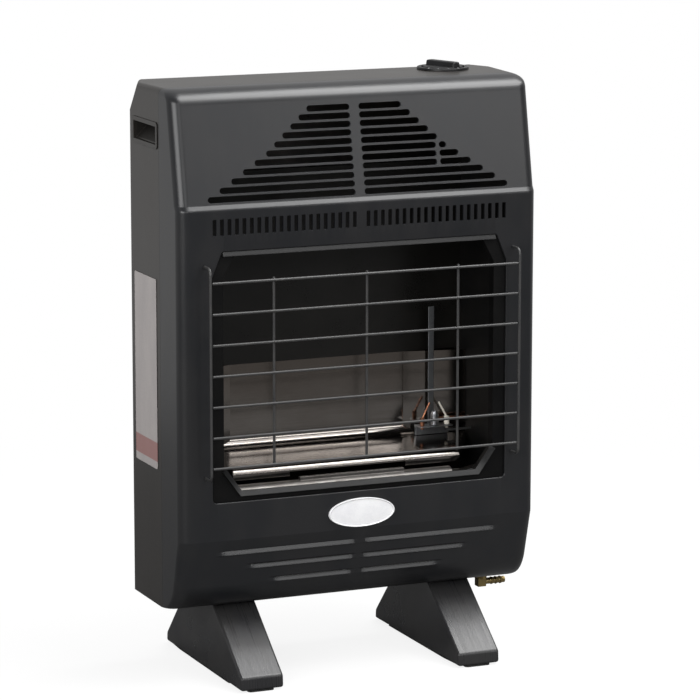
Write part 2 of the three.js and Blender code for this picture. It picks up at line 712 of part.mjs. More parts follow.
/** Front profile from the toe to the top, as [y, z] points. */
function frontProfile() {
  const toe = new THREE.QuadraticBezierCurve(
    new THREE.Vector2(TOE_Y, BASE_Z),
    new THREE.Vector2(FRONT_Y + TOE_BULGE_SETBACK, BASE_Z + TOE_BULGE_RISE),
    new THREE.Vector2(FRONT_Y + APRON_SETBACK, APRON_LOW_Z),
  );
  const ledgeTop = LEDGE_Z + LEDGE_HEIGHT;
  const ledge = new THREE.QuadraticBezierCurve(
    new THREE.Vector2(FRONT_Y, LEDGE_Z),
    new THREE.Vector2(FRONT_Y, ledgeTop),
    new THREE.Vector2(FRONT_Y + LEDGE_DEPTH, ledgeTop + LEDGE_CROWN),
  );
  const points = toe.getPoints(5).map((p) => [p.x, p.y]);
  points.push([FRONT_Y, BASE_Z + APRON_HIGH_RISE]);
  points.push(...ledge.getPoints(3).map((p) => [p.x, p.y]));
  const steps = 7;
  for (let i = 0; i <= steps; i += 1) {
    const angle = (Math.PI / 2) * (i / steps);
    const y = TOP_FLAT_Y - (TOP_FLAT_Y - BROW_Y) * Math.cos(angle);
    const z = BROW_Z + (CABINET_TOP - BROW_Z) * Math.sin(angle);
    points.push([y, z]);
  }
  return points;
}

/** Half width of the cabinet at a height, drawn in along the rounded shoulders. */
function halfWidthAt(z) {
  const rise = Math.max(z - (CABINET_TOP - SHOULDER_RADIUS), 0);
  const reach = Math.sqrt(Math.max(SHOULDER_RADIUS ** 2 - rise ** 2, 0));
  return HALF_WIDTH - SHOULDER_RADIUS + reach;
}

/** The same line with a point added at the given height. */
function withLevel(points, z) {
  const next = points.findIndex(([, height]) => height > z);
  const [y0, z0] = points[next - 1];
  const [y1, z1] = points[next];
  const share = (z - z0) / (z1 - z0);
  return [...points.slice(0, next), [y0 + (y1 - y0) * share, z], ...points.slice(next)];
}

/** The front profile with points where the rear corners and the shoulders start, lowest first. */
function levels() {
  return withLevel(withLevel(frontProfile(), HEEL_START_Z), CABINET_TOP - SHOULDER_RADIUS);
}

/** Solid cabinet shape, drawn in by an even wall on every side but the back. */
function cabinet(inset, rearY = BACK_Y) {
  const positions = [];
  const cornerSteps = 5;
  const radius = Math.max(CORNER_RADIUS - inset, 1);
  const rings = levels();
  rings.forEach(([frontY, z]) => {
    const lower = Math.max((APRON_LOW_Z - z) / (APRON_LOW_Z - BASE_Z), 0);
    const upper = Math.max((z - LEDGE_Z) / (CABINET_TOP - LEDGE_Z), 0);
    const height = z + inset * lower - inset * upper;
    const w = halfWidthAt(z) - inset;
    const f = frontY + inset;
    const rise = Math.max((z - HEEL_START_Z) / (CABINET_TOP - HEEL_START_Z), 0);
    const heel = HEEL_LEAST + (1 - HEEL_LEAST) * rise;
    const across = HEEL_WIDTH * heel;
    const deep = HEEL_DEPTH * heel;
    const slant = Math.hypot(across, deep);
    const sideY = BACK_Y - deep + (inset * (deep - slant)) / across;
    const rearX = w + inset - across - (inset * slant + (rearY - BACK_Y) * across) / deep;
    positions.push(w, sideY, height, rearX, rearY, height, -rearX, rearY, height, -w, sideY, height);
    for (let i = 0; i <= cornerSteps; i += 1) {
      const angle = Math.PI + (Math.PI / 2) * (i / cornerSteps);
      positions.push(-w + radius + radius * Math.cos(angle), f + radius + radius * Math.sin(angle), height);
    }
    for (let i = 0; i <= cornerSteps; i += 1) {
      const angle = (3 * Math.PI) / 2 + (Math.PI / 2) * (i / cornerSteps);
      positions.push(w - radius + radius * Math.cos(angle), f + radius + radius * Math.sin(angle), height);
    }
  });
  return solid(skin(positions, rings.length, 6 + 2 * cornerSteps));
}

/** Everything between two depths. */
function slab(y0, y1) {
  return box(-CABINET_WIDTH, CABINET_WIDTH, y0, y1, 0, CABINET_TOP * 2);
}

/** Front Y of the cabinet's skin at a height on the louvre panel or below it. */
function skinY(z) {
  const points = frontProfile();
  const i = points.findIndex(([, height]) => height >= z);
  const [y0, z0] = points[Math.max(i - 1, 0)];
  const [y1, z1] = points[i];
  return z1 === z0 ? y1 : y0 + ((y1 - y0) * (z - z0)) / (z1 - z0);
}

// ---------------------------------------------------------------- casing

/** Octagon with its own chamfers at the top and the bottom, grown by an even margin. */
function apertureShape(grow) {
  const w = WINDOW_HALF_WIDTH - BEZEL_SIDE + grow;
  const b = WINDOW_BOTTOM + BEZEL_SILL - grow;
  const t = WINDOW_TOP - BEZEL_HEAD + grow;
  return outline([
    [-w + APERTURE_CHAMFER_LOW, b], [w - APERTURE_CHAMFER_LOW, b],
    [w, b + APERTURE_CHAMFER_HEIGHT], [w, t - APERTURE_CHAMFER_HEIGHT],
    [w - APERTURE_CHAMFER_TOP, t], [-w + APERTURE_CHAMFER_TOP, t],
    [-w, t - APERTURE_CHAMFER_HEIGHT], [-w, b + APERTURE_CHAMFER_HEIGHT],
  ]);
}

/** Window outline in the front moulding, with its small chamfers at the top. */
function windowShape() {
  const w = WINDOW_HALF_WIDTH;
  const chamferZ = WINDOW_TOP - WINDOW_CHAMFER_HEIGHT;
  return outline([
    [-w + WINDOW_CORNER, WINDOW_BOTTOM], [w - WINDOW_CORNER, WINDOW_BOTTOM],
    [w, WINDOW_BOTTOM + WINDOW_CORNER], [w, chamferZ], [w - WINDOW_CHAMFER_WIDTH, WINDOW_TOP],
    [-w + WINDOW_CHAMFER_WIDTH, WINDOW_TOP], [-w, chamferZ], [-w, WINDOW_BOTTOM + WINDOW_CORNER],
  ]);
}

/** Half length of one louvre, counted from the lowest row. */
function louvreReach(row) {
  const fromTop = LOUVRE_ROWS - 1 - row;
  const upper = Math.min(fromTop, LOUVRE_UPPER_ROWS);
  const lower = Math.max(fromTop - LOUVRE_UPPER_ROWS, 0);
  return LOUVRE_TOP_REACH + upper * LOUVRE_STEP_UPPER + lower * LOUVRE_STEP_LOWER;
}

/** Tools that cut the stepped field of louvres, with the short rib in its right half. */
function louvreTools() {
  const tools = [];
  const ribLeft = LOUVRE_RIB_X - LOUVRE_RIB_WIDTH / 2;
  const ribRight = LOUVRE_RIB_X + LOUVRE_RIB_WIDTH / 2;
  for (let row = 0; row < LOUVRE_ROWS; row += 1) {
    const z = LEDGE_Z + LOUVRE_FIRST_RISE + row * LOUVRE_PITCH;
    const reach = louvreReach(row);
    const ribbed = row >= LOUVRE_RIB_FIRST_ROW && row <= LOUVRE_RIB_LAST_ROW;
    const right = ribbed ? [[SPINE_HALF_WIDTH, ribLeft], [ribRight, reach]] : [[SPINE_HALF_WIDTH, reach]];
    for (const [x0, x1] of [[-reach, -SPINE_HALF_WIDTH], ...right]) {
      const shape = slotShape(x0, x1, z, LOUVRE_HEIGHT);
      tools.push(prismY(shape, skinY(z) - FASCIA_WALL * 2, skinY(z) + FASCIA_WALL * 3, 3));
    }
  }
  return tools;
}

/** Tools that cut the row of short upright slots over the window. */
function outletTools() {
  const tools = [];
  const top = LEDGE_Z - OUTLET_DROP;
  for (let i = 0; i < OUTLET_SLOTS; i += 1) {
    for (const side of [-1, 1]) {
      const x = side * (OUTLET_FIRST_X + i * OUTLET_PITCH) - OUTLET_WIDTH / 2;
      tools.push(box(x, x + OUTLET_WIDTH, FRONT_Y - CUT, FASCIA_INNER_Y + CUT, top - OUTLET_LENGTH, top));
    }
  }
  return tools;
}

/** Tool that presses the tapering pairs of grooves into the apron. */
function grooveTool() {
  const bars = [];
  GROOVE_RISE.forEach((rise, row) => {
    for (const side of [-1, 1]) {
      const ends = [side * GROOVE_START_X, side * GROOVE_REACH[row]];
      const shape = slotShape(Math.min(...ends), Math.max(...ends), BASE_Z + rise, GROOVE_HEIGHT);
      bars.push(prismY(shape, FRONT_Y - CUT, TOE_Y, 3));
    }
  });
  return join(bars).subtract(cabinet(GROOVE_DEPTH));
}

/** Front moulding: window surround, louvres, outlet slots, grooved apron and the tongue behind the seam. */
function frontFascia() {
  const core = cabinet(FASCIA_WALL, BACK_Y + CUT);
  const wall = cabinet(0).subtract(core).intersect(slab(FRONT_Y - CUT, SEAM_Y - GAP / 2));
  const tongue = cabinet(SHEET + GAP).subtract(core).intersect(slab(SEAM_Y - CUT, SEAM_Y + LIP_LENGTH));
  const tools = [prismY(windowShape(), FRONT_Y - CUT, FIREBOX_FRONT_Y)];
  for (const x of [-GUARD_HALF_WIDTH, GUARD_HALF_WIDTH]) {
    for (const z of [GUARD_ROD_BOTTOM, GUARD_ROD_TOP]) {
      tools.push(rodY(x, z, FRONT_Y - CUT, FIREBOX_FRONT_Y, WIRE_RADIUS + GAP, 8));
    }
  }
  tools.push(...louvreTools(), ...outletTools(), grooveTool());
  return cut(wall.add(tongue), tools);
}

/** Steel wrap: both sides and the top, with a return flange round the back. */
function casingWrap() {
  const shell = cabinet(0).subtract(cabinet(SHEET, BACK_Y + CUT));
  const wall = shell.intersect(slab(SEAM_Y + GAP / 2, BACK_Y + CUT));
  const ring = cabinet(SHEET / 2).subtract(cabinet(SHEET + REAR_FLANGE, BACK_Y + CUT));
  const flange = ring.intersect(slab(FLANGE_FRONT_Y, FLANGE_FRONT_Y + SHEET));
  const inside = HALF_WIDTH - SHEET;
  const slot = roundedRectangle(SLOT_FRONT_Y, SLOT_BACK_Y, SLOT_BOTTOM, SLOT_TOP, SLOT_CORNER);
  const screwTools = backScrewSpots().map(
    ([x, z]) => rodY(x, z, FLANGE_FRONT_Y - CUT, BACK_Y, SCREW_RADIUS + GAP, 8),
  );
  return cut(wall.add(flange), [
    box(-inside, inside, FRONT_Y, BACK_Y + CUT, 0, FLOOR_TOP_Z + GAP),
    rodZ(KNOB_X, KNOB_Y, WELL_FLOOR_Z, CABINET_TOP + CUT, WELL_RADIUS + WELL_WALL + GAP, 40),
    prismX(slot, -HALF_WIDTH - CUT, -inside + CUT, 3),
    prismX(slot, inside - CUT, HALF_WIDTH + CUT, 3),
    ...screwTools,
  ]);
}

/** Where the back panel is screwed to the casing's flange, as [x, z] points. */
function backScrewSpots() {
  const x = HALF_WIDTH - SHEET - SCREW_INSET;
  const heights = [BASE_Z + SCREW_RISE, (BASE_Z + CABINET_TOP) / 2, HEEL_START_Z];
  return heights.flatMap((z) => [[-x, z], [x, z]]);
}

/** Inlaid steel back with its fields of air slots. */
function backPanel() {
  const plate = cabinet(SHEET + GAP).intersect(slab(BACK_PANEL_FRONT_Y, BACK_Y));
  const y0 = BACK_PANEL_FRONT_Y - CUT;
  const y1 = BACK_Y + CUT;
  const tools = backScrewSpots().map(([x, z]) => rodY(x, z, y0, y1, SCREW_RADIUS + GAP, 8));
  for (let column = -1; column <= 1; column += 1) {
    for (let row = 0; row < BACK_SLOT_ROWS; row += 1) {
      const x = column * (BACK_SLOT_LENGTH + BACK_SLOT_SPACE);
      const z = BASE_Z + BACK_SLOT_RISE + row * BACK_SLOT_PITCH;
      const shape = slotShape(x - BACK_SLOT_LENGTH / 2, x + BACK_SLOT_LENGTH / 2, z, AIR_SLOT_HEIGHT);
      tools.push(prismY(shape, y0, y1, 2));
    }
  }
  return cut(plate, tools);
}

/** Steel floor of the cabinet, with combustion-air slots and the holes for feet and inlet. */
function basePlate() {
  const edge = HALF_WIDTH - SHEET - GAP;
  const plate = box(-edge, edge, SEAM_Y + GAP / 2, BACK_Y, BASE_Z, FLOOR_TOP_Z);
  const z0 = BASE_Z - CUT;
  const z1 = FLOOR_TOP_Z + CUT;
  const tools = [rodZ(INLET_X, INLET_Y, z0, z1, INLET_RADIUS + GAP, 16)];
  for (const x of [-FOOT_X, FOOT_X]) {
    for (const y of [FOOT_SCREW_FRONT_Y, FOOT_SCREW_BACK_Y]) {
      tools.push(rodZ(x, y, z0, z1, FOOT_SCREW_RADIUS + GAP, 12));
    }
  }
  for (let row = 0; row < BASE_SLOT_ROWS; row += 1) {
    const y = SEAM_Y + BASE_SLOT_START + row * BASE_SLOT_PITCH;
    const shape = slotShape(-BASE_SLOT_LENGTH / 2, BASE_SLOT_LENGTH / 2, y, AIR_SLOT_HEIGHT);
    tools.push(prismZ(shape, z0, z1, 2));
  }
  return cut(plate, tools);
}

/** Moulded finger pull: a pocket that is deepest under its roof. */
function handGrip(side) {
  const y0 = SLOT_FRONT_Y + GAP;
  const y1 = SLOT_BACK_Y - GAP;
  const z0 = SLOT_BOTTOM + GAP;
  const z1 = SLOT_TOP - GAP;
  const face = HALF_WIDTH + GAP + GRIP_RIM_THICKNESS;
  const deep = HALF_WIDTH - SLOT_DEPTH;
  const wedge = (wall, mouthX) => outline([
    [mouthX, z0 + wall], [HALF_WIDTH - SHEET - GRIP_SILL, z0 + wall], [deep + wall, z1 - SLOT_BACK_HEIGHT],
    [deep + wall, z1 - wall], [mouthX, z1 - wall],
  ]);
  const mouth = roundedRectangle(y0, y1, z0, z1, SLOT_CORNER - GAP);
  const cup = prismY(wedge(0, face), y0, y1).intersect(prismX(mouth, deep - CUT, face + CUT, 3));
  const rimShape = roundedRectangle(
    SLOT_FRONT_Y - GRIP_RIM, SLOT_BACK_Y + GRIP_RIM,
    SLOT_BOTTOM - GRIP_RIM, SLOT_TOP + GRIP_RIM, SLOT_CORNER + GAP,
  );
  const rim = prismX(rimShape, HALF_WIDTH + GAP, face, 3);
  const pocket = prismY(wedge(GRIP_WALL, face + CUT), y0 + GRIP_WALL, y1 - GRIP_WALL);
  const right = cup.add(rim).subtract(pocket);
  return side > 0 ? right : right.mirror([1, 0, 0]);
}

/** Oval plate on the front, crowned towards its middle. */
function badgePlate() {
  const positions = [];
  const sides = 36;
  const crown = [[1, 0], [1, 0.45], [0.93, 0.75], [0.7, 0.93], [0.2, 1]];
  crown.forEach(([share, rise]) => {
    for (let k = 0; k < sides; k += 1) {
      const angle = (2 * Math.PI * k) / sides;
      const x = BADGE_HALF_WIDTH * share * Math.cos(angle);
      const z = BASE_Z + BADGE_RISE + BADGE_HALF_HEIGHT * share * Math.sin(angle);
      positions.push(x, FRONT_Y - GAP - BADGE_THICKNESS * rise, z);
    }
  });
  return solid(skin(positions, crown.length, sides));
}

/** Thin bare plate on the left side. */
function sideLabelPlate() {
  const bottom = BASE_Z + LABEL_RISE;
  const shape = roundedRectangle(
    SEAM_Y + LABEL_FROM_SEAM, BACK_Y - SIDE_FITTING_INSET, bottom, bottom + LABEL_HEIGHT, LABEL_CORNER,
  );
  return prismX(shape, -HALF_WIDTH - GAP - LABEL_THICKNESS, -HALF_WIDTH - GAP, 3);
}

// ---------------------------------------------------------------- firebox

/** Black surround behind the window, with a short tunnel round the aperture. */
function fireboxBezel() {
  const half = WINDOW_HALF_WIDTH + BEZEL_SIDE_OVERLAP;
  const back = BEZEL_FRONT_Y + BEZEL_DEPTH;
  const z0 = WINDOW_BOTTOM - BEZEL_END_OVERLAP;
  const z1 = WINDOW_TOP + BEZEL_END_OVERLAP;
  const flange = box(-half, half, BEZEL_FRONT_Y, BEZEL_FRONT_Y + SHEET, z0, z1);
  const tunnel = prismY(apertureShape(SHEET), BEZEL_FRONT_Y, back);
  return flange.add(tunnel).subtract(prismY(apertureShape(0), BEZEL_FRONT_Y - CUT, back + CUT));
}

/** Side wall of the firebox: it clears the louvre panel, follows the deflector and stands on the floor. */
function fireboxWall(side) {
  const backY = FIREBOX_BACK_Y - GAP;
  const legY = FIREBOX_BACK_Y - FIREBOX_LEG_DEPTH;
  const clear = FASCIA_WALL + FIREBOX_CLEARANCE;
  const noseZ = DEFLECTOR_FRONT_Z - WALL_NOSE_DROP;
  const noseY = Math.max(skinY(noseZ) + clear, DEFLECTOR_FRONT_Y - WALL_NOSE_DEPTH);
  const bendZ = LEDGE_Z + LEDGE_HEIGHT * 2;
  const floorZ = FLOOR_TOP_Z + GAP;
  const shape = outline([
    [FIREBOX_FRONT_Y, FIREBOX_BOTTOM], [legY, FIREBOX_BOTTOM], [legY, floorZ], [backY, floorZ],
    [backY, FIREBOX_BACK_TOP], [DEFLECTOR_FRONT_Y, DEFLECTOR_FRONT_Z], [noseY, noseZ],
    [skinY(bendZ) + clear, bendZ], [FIREBOX_FRONT_Y, LEDGE_Z],
  ]);
  if (side < 0) {
    return prismX(shape, -FIREBOX_OUTER_X, -FIREBOX_HALF_WIDTH);
  }
  return cut(prismX(shape, FIREBOX_HALF_WIDTH, FIREBOX_OUTER_X), [
    rodX(BURNER_Y, BURNER_Z, BURNER_RIGHT_X, SIDE_PIPE_X, BURNER_PIPE_RADIUS + GAP, 12),
    rodX(PILOT_Y, PILOT_PIPE_Z, PILOT_X, SIDE_PIPE_X, PILOT_PIPE_RADIUS + GAP, 12),
    rodX(LEAD_Y, LEAD_Z, PILOT_X, SIDE_PIPE_X, LEAD_RADIUS + GAP, 12),
  ]);
}

/** Dark back of the firebox. */
function fireboxBack() {
  return box(
    -FIREBOX_OUTER_X, FIREBOX_OUTER_X, FIREBOX_BACK_Y, FIREBOX_BACK_Y + SHEET,
    FIREBOX_BOTTOM, FIREBOX_BACK_TOP,
  );
}

/** Sloping sheet that turns the hot air towards the louvres, with a skirt down behind the firebox. */
function topDeflector() {
  const lift = GAP + SHEET;
  const skirtY = FIREBOX_BACK_Y + SHEET + GAP + SHEET / 2;
  const line = [
    [DEFLECTOR_FRONT_Y, DEFLECTOR_FRONT_Z + lift],
    [skirtY, FIREBOX_BACK_TOP + GAP],
    [skirtY, FIREBOX_BACK_TOP - DEFLECTOR_SKIRT],
  ];
  return prismX(bentSheet(line, SHEET), -FIREBOX_OUTER_X, FIREBOX_OUTER_X);
}

/** Flat shield behind the firebox, its folded edges reaching the back panel and its spacer the firebox. */
function heatShield() {
  const edge = FIREBOX_HALF_WIDTH - HEAT_SHIELD_MARGIN;
  const z0 = FIREBOX_BOTTOM + HEAT_SHIELD_MARGIN;
  const z1 = FIREBOX_BACK_TOP - HEAT_SHIELD_TOP_MARGIN;
  const foldBack = BACK_PANEL_FRONT_Y - GAP;
  const spacerZ = FIREBOX_BOTTOM + SPACER_RISE;
  return join([
    box(-edge, edge, HEAT_SHIELD_Y, HEAT_SHIELD_Y + SHEET, z0, z1),
    box(-edge, -edge + SHEET, HEAT_SHIELD_Y, foldBack, z0, z1),
    box(edge - SHEET, edge, HEAT_SHIELD_Y, foldBack, z0, z1),
    box(
      -SPACER_HALF_WIDTH, SPACER_HALF_WIDTH, FIREBOX_BACK_Y + SHEET + GAP, HEAT_SHIELD_Y + SHEET / 2,
      spacerZ, spacerZ + SPACER_HEIGHT,
    ),
  ]);
}

/** Height of the tray's mid-surface at a depth. */
function trayZ(y) {
  return TRAY_LIP_Z + (y - TRAY_LIP_Y) * TRAY_SLOPE;
}

/** Plan of the tray, its front corners cut back, drawn in by an even border. */
function trayPlan(border) {
  const rear = FIREBOX_HALF_WIDTH - REFLECTOR_SIDE_GAP - border;
  const front = FIREBOX_HALF_WIDTH - TRAY_FRONT_INSET - border / 2;
  return outline([
    [-rear, FIREBOX_BACK_Y], [-rear, TRAY_CORNER_Y], [-front, TRAY_LIP_Y + border],
    [front, TRAY_LIP_Y + border], [rear, TRAY_CORNER_Y], [rear, FIREBOX_BACK_Y],
  ]);
}

/** Polished sheet: upright reflector, bend, sloping tray and a turned-down front lip with its notch. */
function reflectorTray() {
  const bend = new THREE.QuadraticBezierCurve(
    new THREE.Vector2(REFLECTOR_Y, TRAY_BEND_Z + TRAY_BEND_RADIUS),
    new THREE.Vector2(REFLECTOR_Y, TRAY_BEND_Z),
    new THREE.Vector2(REFLECTOR_Y - TRAY_BEND_RADIUS, trayZ(REFLECTOR_Y - TRAY_BEND_RADIUS)),
  );
  const line = [
    [REFLECTOR_Y, FIREBOX_BOTTOM + REFLECTOR_RISE],
    ...bend.getPoints(4).map((p) => [p.x, p.y]),
    [TRAY_LIP_Y, TRAY_LIP_Z],
  ];
  const half = FIREBOX_HALF_WIDTH - REFLECTOR_SIDE_GAP;
  const t = REFLECTOR_THICKNESS;
  const sheet = prismX(bentSheet(line, t), -half, half);
  const plan = prismZ(trayPlan(0), BASE_Z, CABINET_TOP);
  const rim = plan.subtract(prismZ(trayPlan(TRAY_LIP_THICKNESS), BASE_Z, CABINET_TOP));
  const lipTail = TRAY_CORNER_Y + TRAY_NOTCH_DROP;
  const drop = outline([
    [TRAY_LIP_Y - CUT, trayZ(TRAY_LIP_Y - CUT)], [lipTail, trayZ(lipTail)],
    [lipTail, trayZ(lipTail) - t], [TRAY_LIP_Y - CUT, TRAY_LIP_Z - TRAY_LIP_DROP],
  ]);
  const lip = prismX(drop, -half, half).intersect(rim);
  const notch = box(
    -TRAY_NOTCH_HALF_WIDTH, TRAY_NOTCH_HALF_WIDTH, TRAY_LIP_Y - CUT, TRAY_LIP_Y + TRAY_LIP_THICKNESS + CUT,
    TRAY_LIP_Z - TRAY_LIP_DROP - CUT, TRAY_LIP_Z - TRAY_NOTCH_DROP,
  );
  return sheet.intersect(plan).add(lip).subtract(notch);
}

// ---------------------------------------------------------------- burner

/** Closed steel tube with a raised strip of flame ports over its middle. */
function burnerTube() {
  const inner = BURNER_RADIUS - BURNER_WALL;
  const top = BURNER_Z + PORT_STRIP_RISE;
  const tube = rodX(BURNER_Y, BURNER_Z, BURNER_LEFT_X, BURNER_RIGHT_X, BURNER_RADIUS, 20);
  const strip = box(
    -PORT_STRIP_HALF_WIDTH, PORT_STRIP_HALF_WIDTH,
    BURNER_Y - PORT_STRIP_HALF_DEPTH, BURNER_Y + PORT_STRIP_HALF_DEPTH, BURNER_Z + inner - CUT, top,
  );
  const tools = [
    rodX(BURNER_Y, BURNER_Z, BURNER_LEFT_X + BURNER_WALL, BURNER_RIGHT_X - BURNER_WALL, inner, 20),
    rodX(BURNER_Y, BURNER_Z, BURNER_RIGHT_X - BURNER_WALL - CUT, BURNER_RIGHT_X + CUT, VENTURI_THROAT, 20),
  ];
  const pitch = (2 * (PORT_STRIP_HALF_WIDTH - PORT_MARGIN)) / PORT_COUNT;
  for (let i = 0; i < PORT_COUNT; i += 1) {
    const x = PORT_MARGIN - PORT_STRIP_HALF_WIDTH + pitch * (i + 0.5);
    tools.push(box(
      x - PORT_HALF_WIDTH, x + PORT_HALF_WIDTH, BURNER_Y - PORT_HALF_DEPTH, BURNER_Y + PORT_HALF_DEPTH,
      BURNER_Z, top + CUT,
    ));
  }
  return cut(tube.add(strip), tools);
}

/** Flared mixing tube between the injector and the burner, with a foot on the right-hand bracket. */
function venturiTube() {
  const t = BURNER_WALL;
  const throatEnd = VENTURI_START_X + VENTURI_THROAT_LENGTH;
  const mouthStart = VENTURI_END_X - VENTURI_MOUTH_LENGTH;
  const wall = [
    [VENTURI_THROAT + t, VENTURI_START_X], [VENTURI_THROAT + t, throatEnd], [VENTURI_MOUTH + t, mouthStart],
    [VENTURI_MOUTH + t, VENTURI_END_X], [VENTURI_MOUTH, VENTURI_END_X], [VENTURI_MOUTH, mouthStart],
    [VENTURI_THROAT, throatEnd], [VENTURI_THROAT, VENTURI_START_X], [VENTURI_THROAT + t, VENTURI_START_X],
  ];
  const lathe = new THREE.LatheGeometry(wall.map(([r, x]) => new THREE.Vector2(r, x)), 20);
  lathe.rotateZ(-Math.PI / 2);
  lathe.translate(0, BURNER_Y, BURNER_Z);
  const foot = box(
    mouthStart, mouthStart + VENTURI_LEG_WIDTH,
    BURNER_Y - VENTURI_LEG_DEPTH / 2, BURNER_Y + VENTURI_LEG_DEPTH / 2,
    BURNER_Z - BURNER_RADIUS, BURNER_Z - VENTURI_MOUTH - t / 2,
  );
  return solid(lathe).add(foot);
}

/** Brass injector in the mixing tube's mouth, its hexagon against the firebox wall. */
function gasInjector() {
  const wallX = FIREBOX_HALF_WIDTH;
  const hexStart = wallX - INJECTOR_HEXAGON_LENGTH;
  const tip = wallX - INJECTOR_LENGTH;
  const hexagon = rodX(BURNER_Y, BURNER_Z, hexStart, wallX - GAP, INJECTOR_RADIUS + INJECTOR_STEP, 6);
  const nose = rodX(BURNER_Y, BURNER_Z, tip, hexStart + CUT, INJECTOR_RADIUS - INJECTOR_STEP, 16);
  const socket = rodX(BURNER_Y, BURNER_Z, wallX - INJECTOR_SOCKET, wallX + CUT, BURNER_PIPE_RADIUS + GAP, 16);
  const jet = rodX(BURNER_Y, BURNER_Z, tip - CUT, wallX - INJECTOR_SOCKET + CUT, INJECTOR_JET, 8);
  return cut(hexagon.add(nose), [socket, jet]);
}

/** Angle bracket from a firebox wall to the end of the burner. */
function burnerBracket(side) {
  const wallX = FIREBOX_HALF_WIDTH - GAP;
  const top = BURNER_Z - BURNER_RADIUS - GAP;
  const reach = (side > 0 ? BURNER_RIGHT_X : -BURNER_LEFT_X) - SHELF_REACH;
  const front = BURNER_Y - SHELF_HALF_DEPTH;
  const back = BURNER_Y + EAR_END;
  const shelf = box(reach, wallX, front, BURNER_Y + SHELF_HALF_DEPTH, top - SHEET, top);
  const foot = box(wallX - SHEET, wallX, front, back, top - SHEET, top);
  const ear = box(wallX - SHEET, wallX, BURNER_Y + EAR_START, back, top - SHEET, top + EAR_RISE);
  const right = join([shelf, foot, ear]);
  return side > 0 ? right : right.mirror([1, 0, 0]);
}

// ---------------------------------------------------------------- pilot

/** Tall strip with the shelf that carries the pilot, the probe and the electrode. */
function pilotBracket() {
  const back = PILOT_STRIP_Y + SHEET;
  const left = PILOT_X - PROBE_OFFSET - PILOT_SHELF_END;
  const right = PILOT_X + PROBE_OFFSET + PILOT_SHELF_END;
  const strip = box(
    PILOT_X - PILOT_STRIP_WIDTH / 2, PILOT_X + PILOT_STRIP_WIDTH / 2, PILOT_STRIP_Y, back,
    PILOT_SHELF_Z - SHEET, PILOT_SHELF_Z + PILOT_STRIP_HEIGHT,
  );
  const shelf = box(left, right, PILOT_Y - PILOT_SHELF_FRONT, back, PILOT_SHELF_Z - SHEET, PILOT_SHELF_Z);
  const lift = REFLECTOR_THICKNESS / 2 + GAP;
  const legFront = PILOT_STRIP_Y - PILOT_LEG_DEPTH;
  const legShape = outline([
    [legFront, trayZ(legFront) + lift], [back, trayZ(back) + lift],
    [back, PILOT_SHELF_Z - SHEET / 2], [legFront, PILOT_SHELF_Z - SHEET / 2],
  ]);
  const holes = [-PROBE_OFFSET, 0, PROBE_OFFSET].map((offset) => rodZ(
    PILOT_X + offset, PILOT_Y, PILOT_SHELF_Z - SHEET - CUT, PILOT_SHELF_Z + CUT, PILOT_STEM_RADIUS + GAP, 12,
  ));
  return cut(join([strip, shelf, prismX(legShape, left, right)]), holes);
}

/** Small brass pilot jet with its stem through the shelf. */
function pilotBurner() {
  const r = PILOT_BURNER_RADIUS;
  const bottom = PILOT_SHELF_Z + GAP;
  const top = bottom + PILOT_BURNER_HEIGHT;
  const stem = rodZ(PILOT_X, PILOT_Y, PILOT_SHELF_Z - SHEET, bottom + CUT, PILOT_STEM_RADIUS, 12);
  const body = rodZ(PILOT_X, PILOT_Y, bottom, top, r, 16);
  const hood = rodZ(PILOT_X, PILOT_Y, top - CUT, top + PILOT_HOOD_HEIGHT, r, 16, r - PILOT_HOOD_TAPER);
  const bore = rodY(
    PILOT_X, PILOT_PIPE_Z, PILOT_Y + PILOT_BORE_START, PILOT_Y + r + CUT, PILOT_PIPE_RADIUS + GAP, 12,
  );
  const mouth = rodZ(PILOT_X, PILOT_Y, top, top + PILOT_HOOD_HEIGHT + CUT, PILOT_MOUTH, 12);
  return cut(join([stem, body, hood]), [bore, mouth]);
}

/** Leaning probe with a collar on the shelf and a stem through it. */
function pilotProbe(side, radius, reach) {
  const x = PILOT_X + side * PROBE_OFFSET;
  const bottom = PILOT_SHELF_Z + GAP;
  const top = bottom + PROBE_COLLAR_HEIGHT;
  const stem = rodZ(x, PILOT_Y, LEAD_Z + LEAD_RADIUS + GAP, bottom + CUT, PILOT_STEM_RADIUS, 10);
  const collar = rodZ(x, PILOT_Y, bottom, top, radius, 12);
  const tip = rodBetween(
    [x, PILOT_Y, top - CUT], [x - side * reach, PILOT_Y, top - CUT + PROBE_TIP_RISE], PROBE_TIP_RADIUS, 8,
  );
  return join([stem, collar, tip]);
}

// ---------------------------------------------------------------- tap, knob and pipes

/** Tap body with its bore from the top and three ports on its right. */
function tapBody() {
  const neckStart = TAP_TOP - TAP_NECK;
  const block = box(
    KNOB_X - TAP_HALF, TAP_RIGHT_X, KNOB_Y - TAP_HALF, KNOB_Y + TAP_HALF, TAP_BOTTOM, neckStart,
  );
  const neck = rodZ(KNOB_X, KNOB_Y, neckStart - CUT, TAP_TOP, TAP_PLUG_RADIUS + TAP_NECK_WALL, 24);
  const bore = rodZ(KNOB_X, KNOB_Y, TAP_PLUG_BOTTOM - GAP, TAP_TOP + CUT, TAP_PLUG_RADIUS + GAP, 24);
  const port = (y, z, radius) => rodX(y, z, TAP_RIGHT_X - PORT_DEPTH, TAP_RIGHT_X + CUT, radius + GAP, 12);
  return cut(block.add(neck), [
    bore,
    port(INLET_PORT_Y, INLET_PORT_Z, INLET_PIPE_RADIUS),
    port(KNOB_Y, OUTLET_PORT_Z, BURNER_PIPE_RADIUS),
    port(PILOT_PORT_Y, OUTLET_PORT_Z, PILOT_PIPE_RADIUS),
  ]);
}

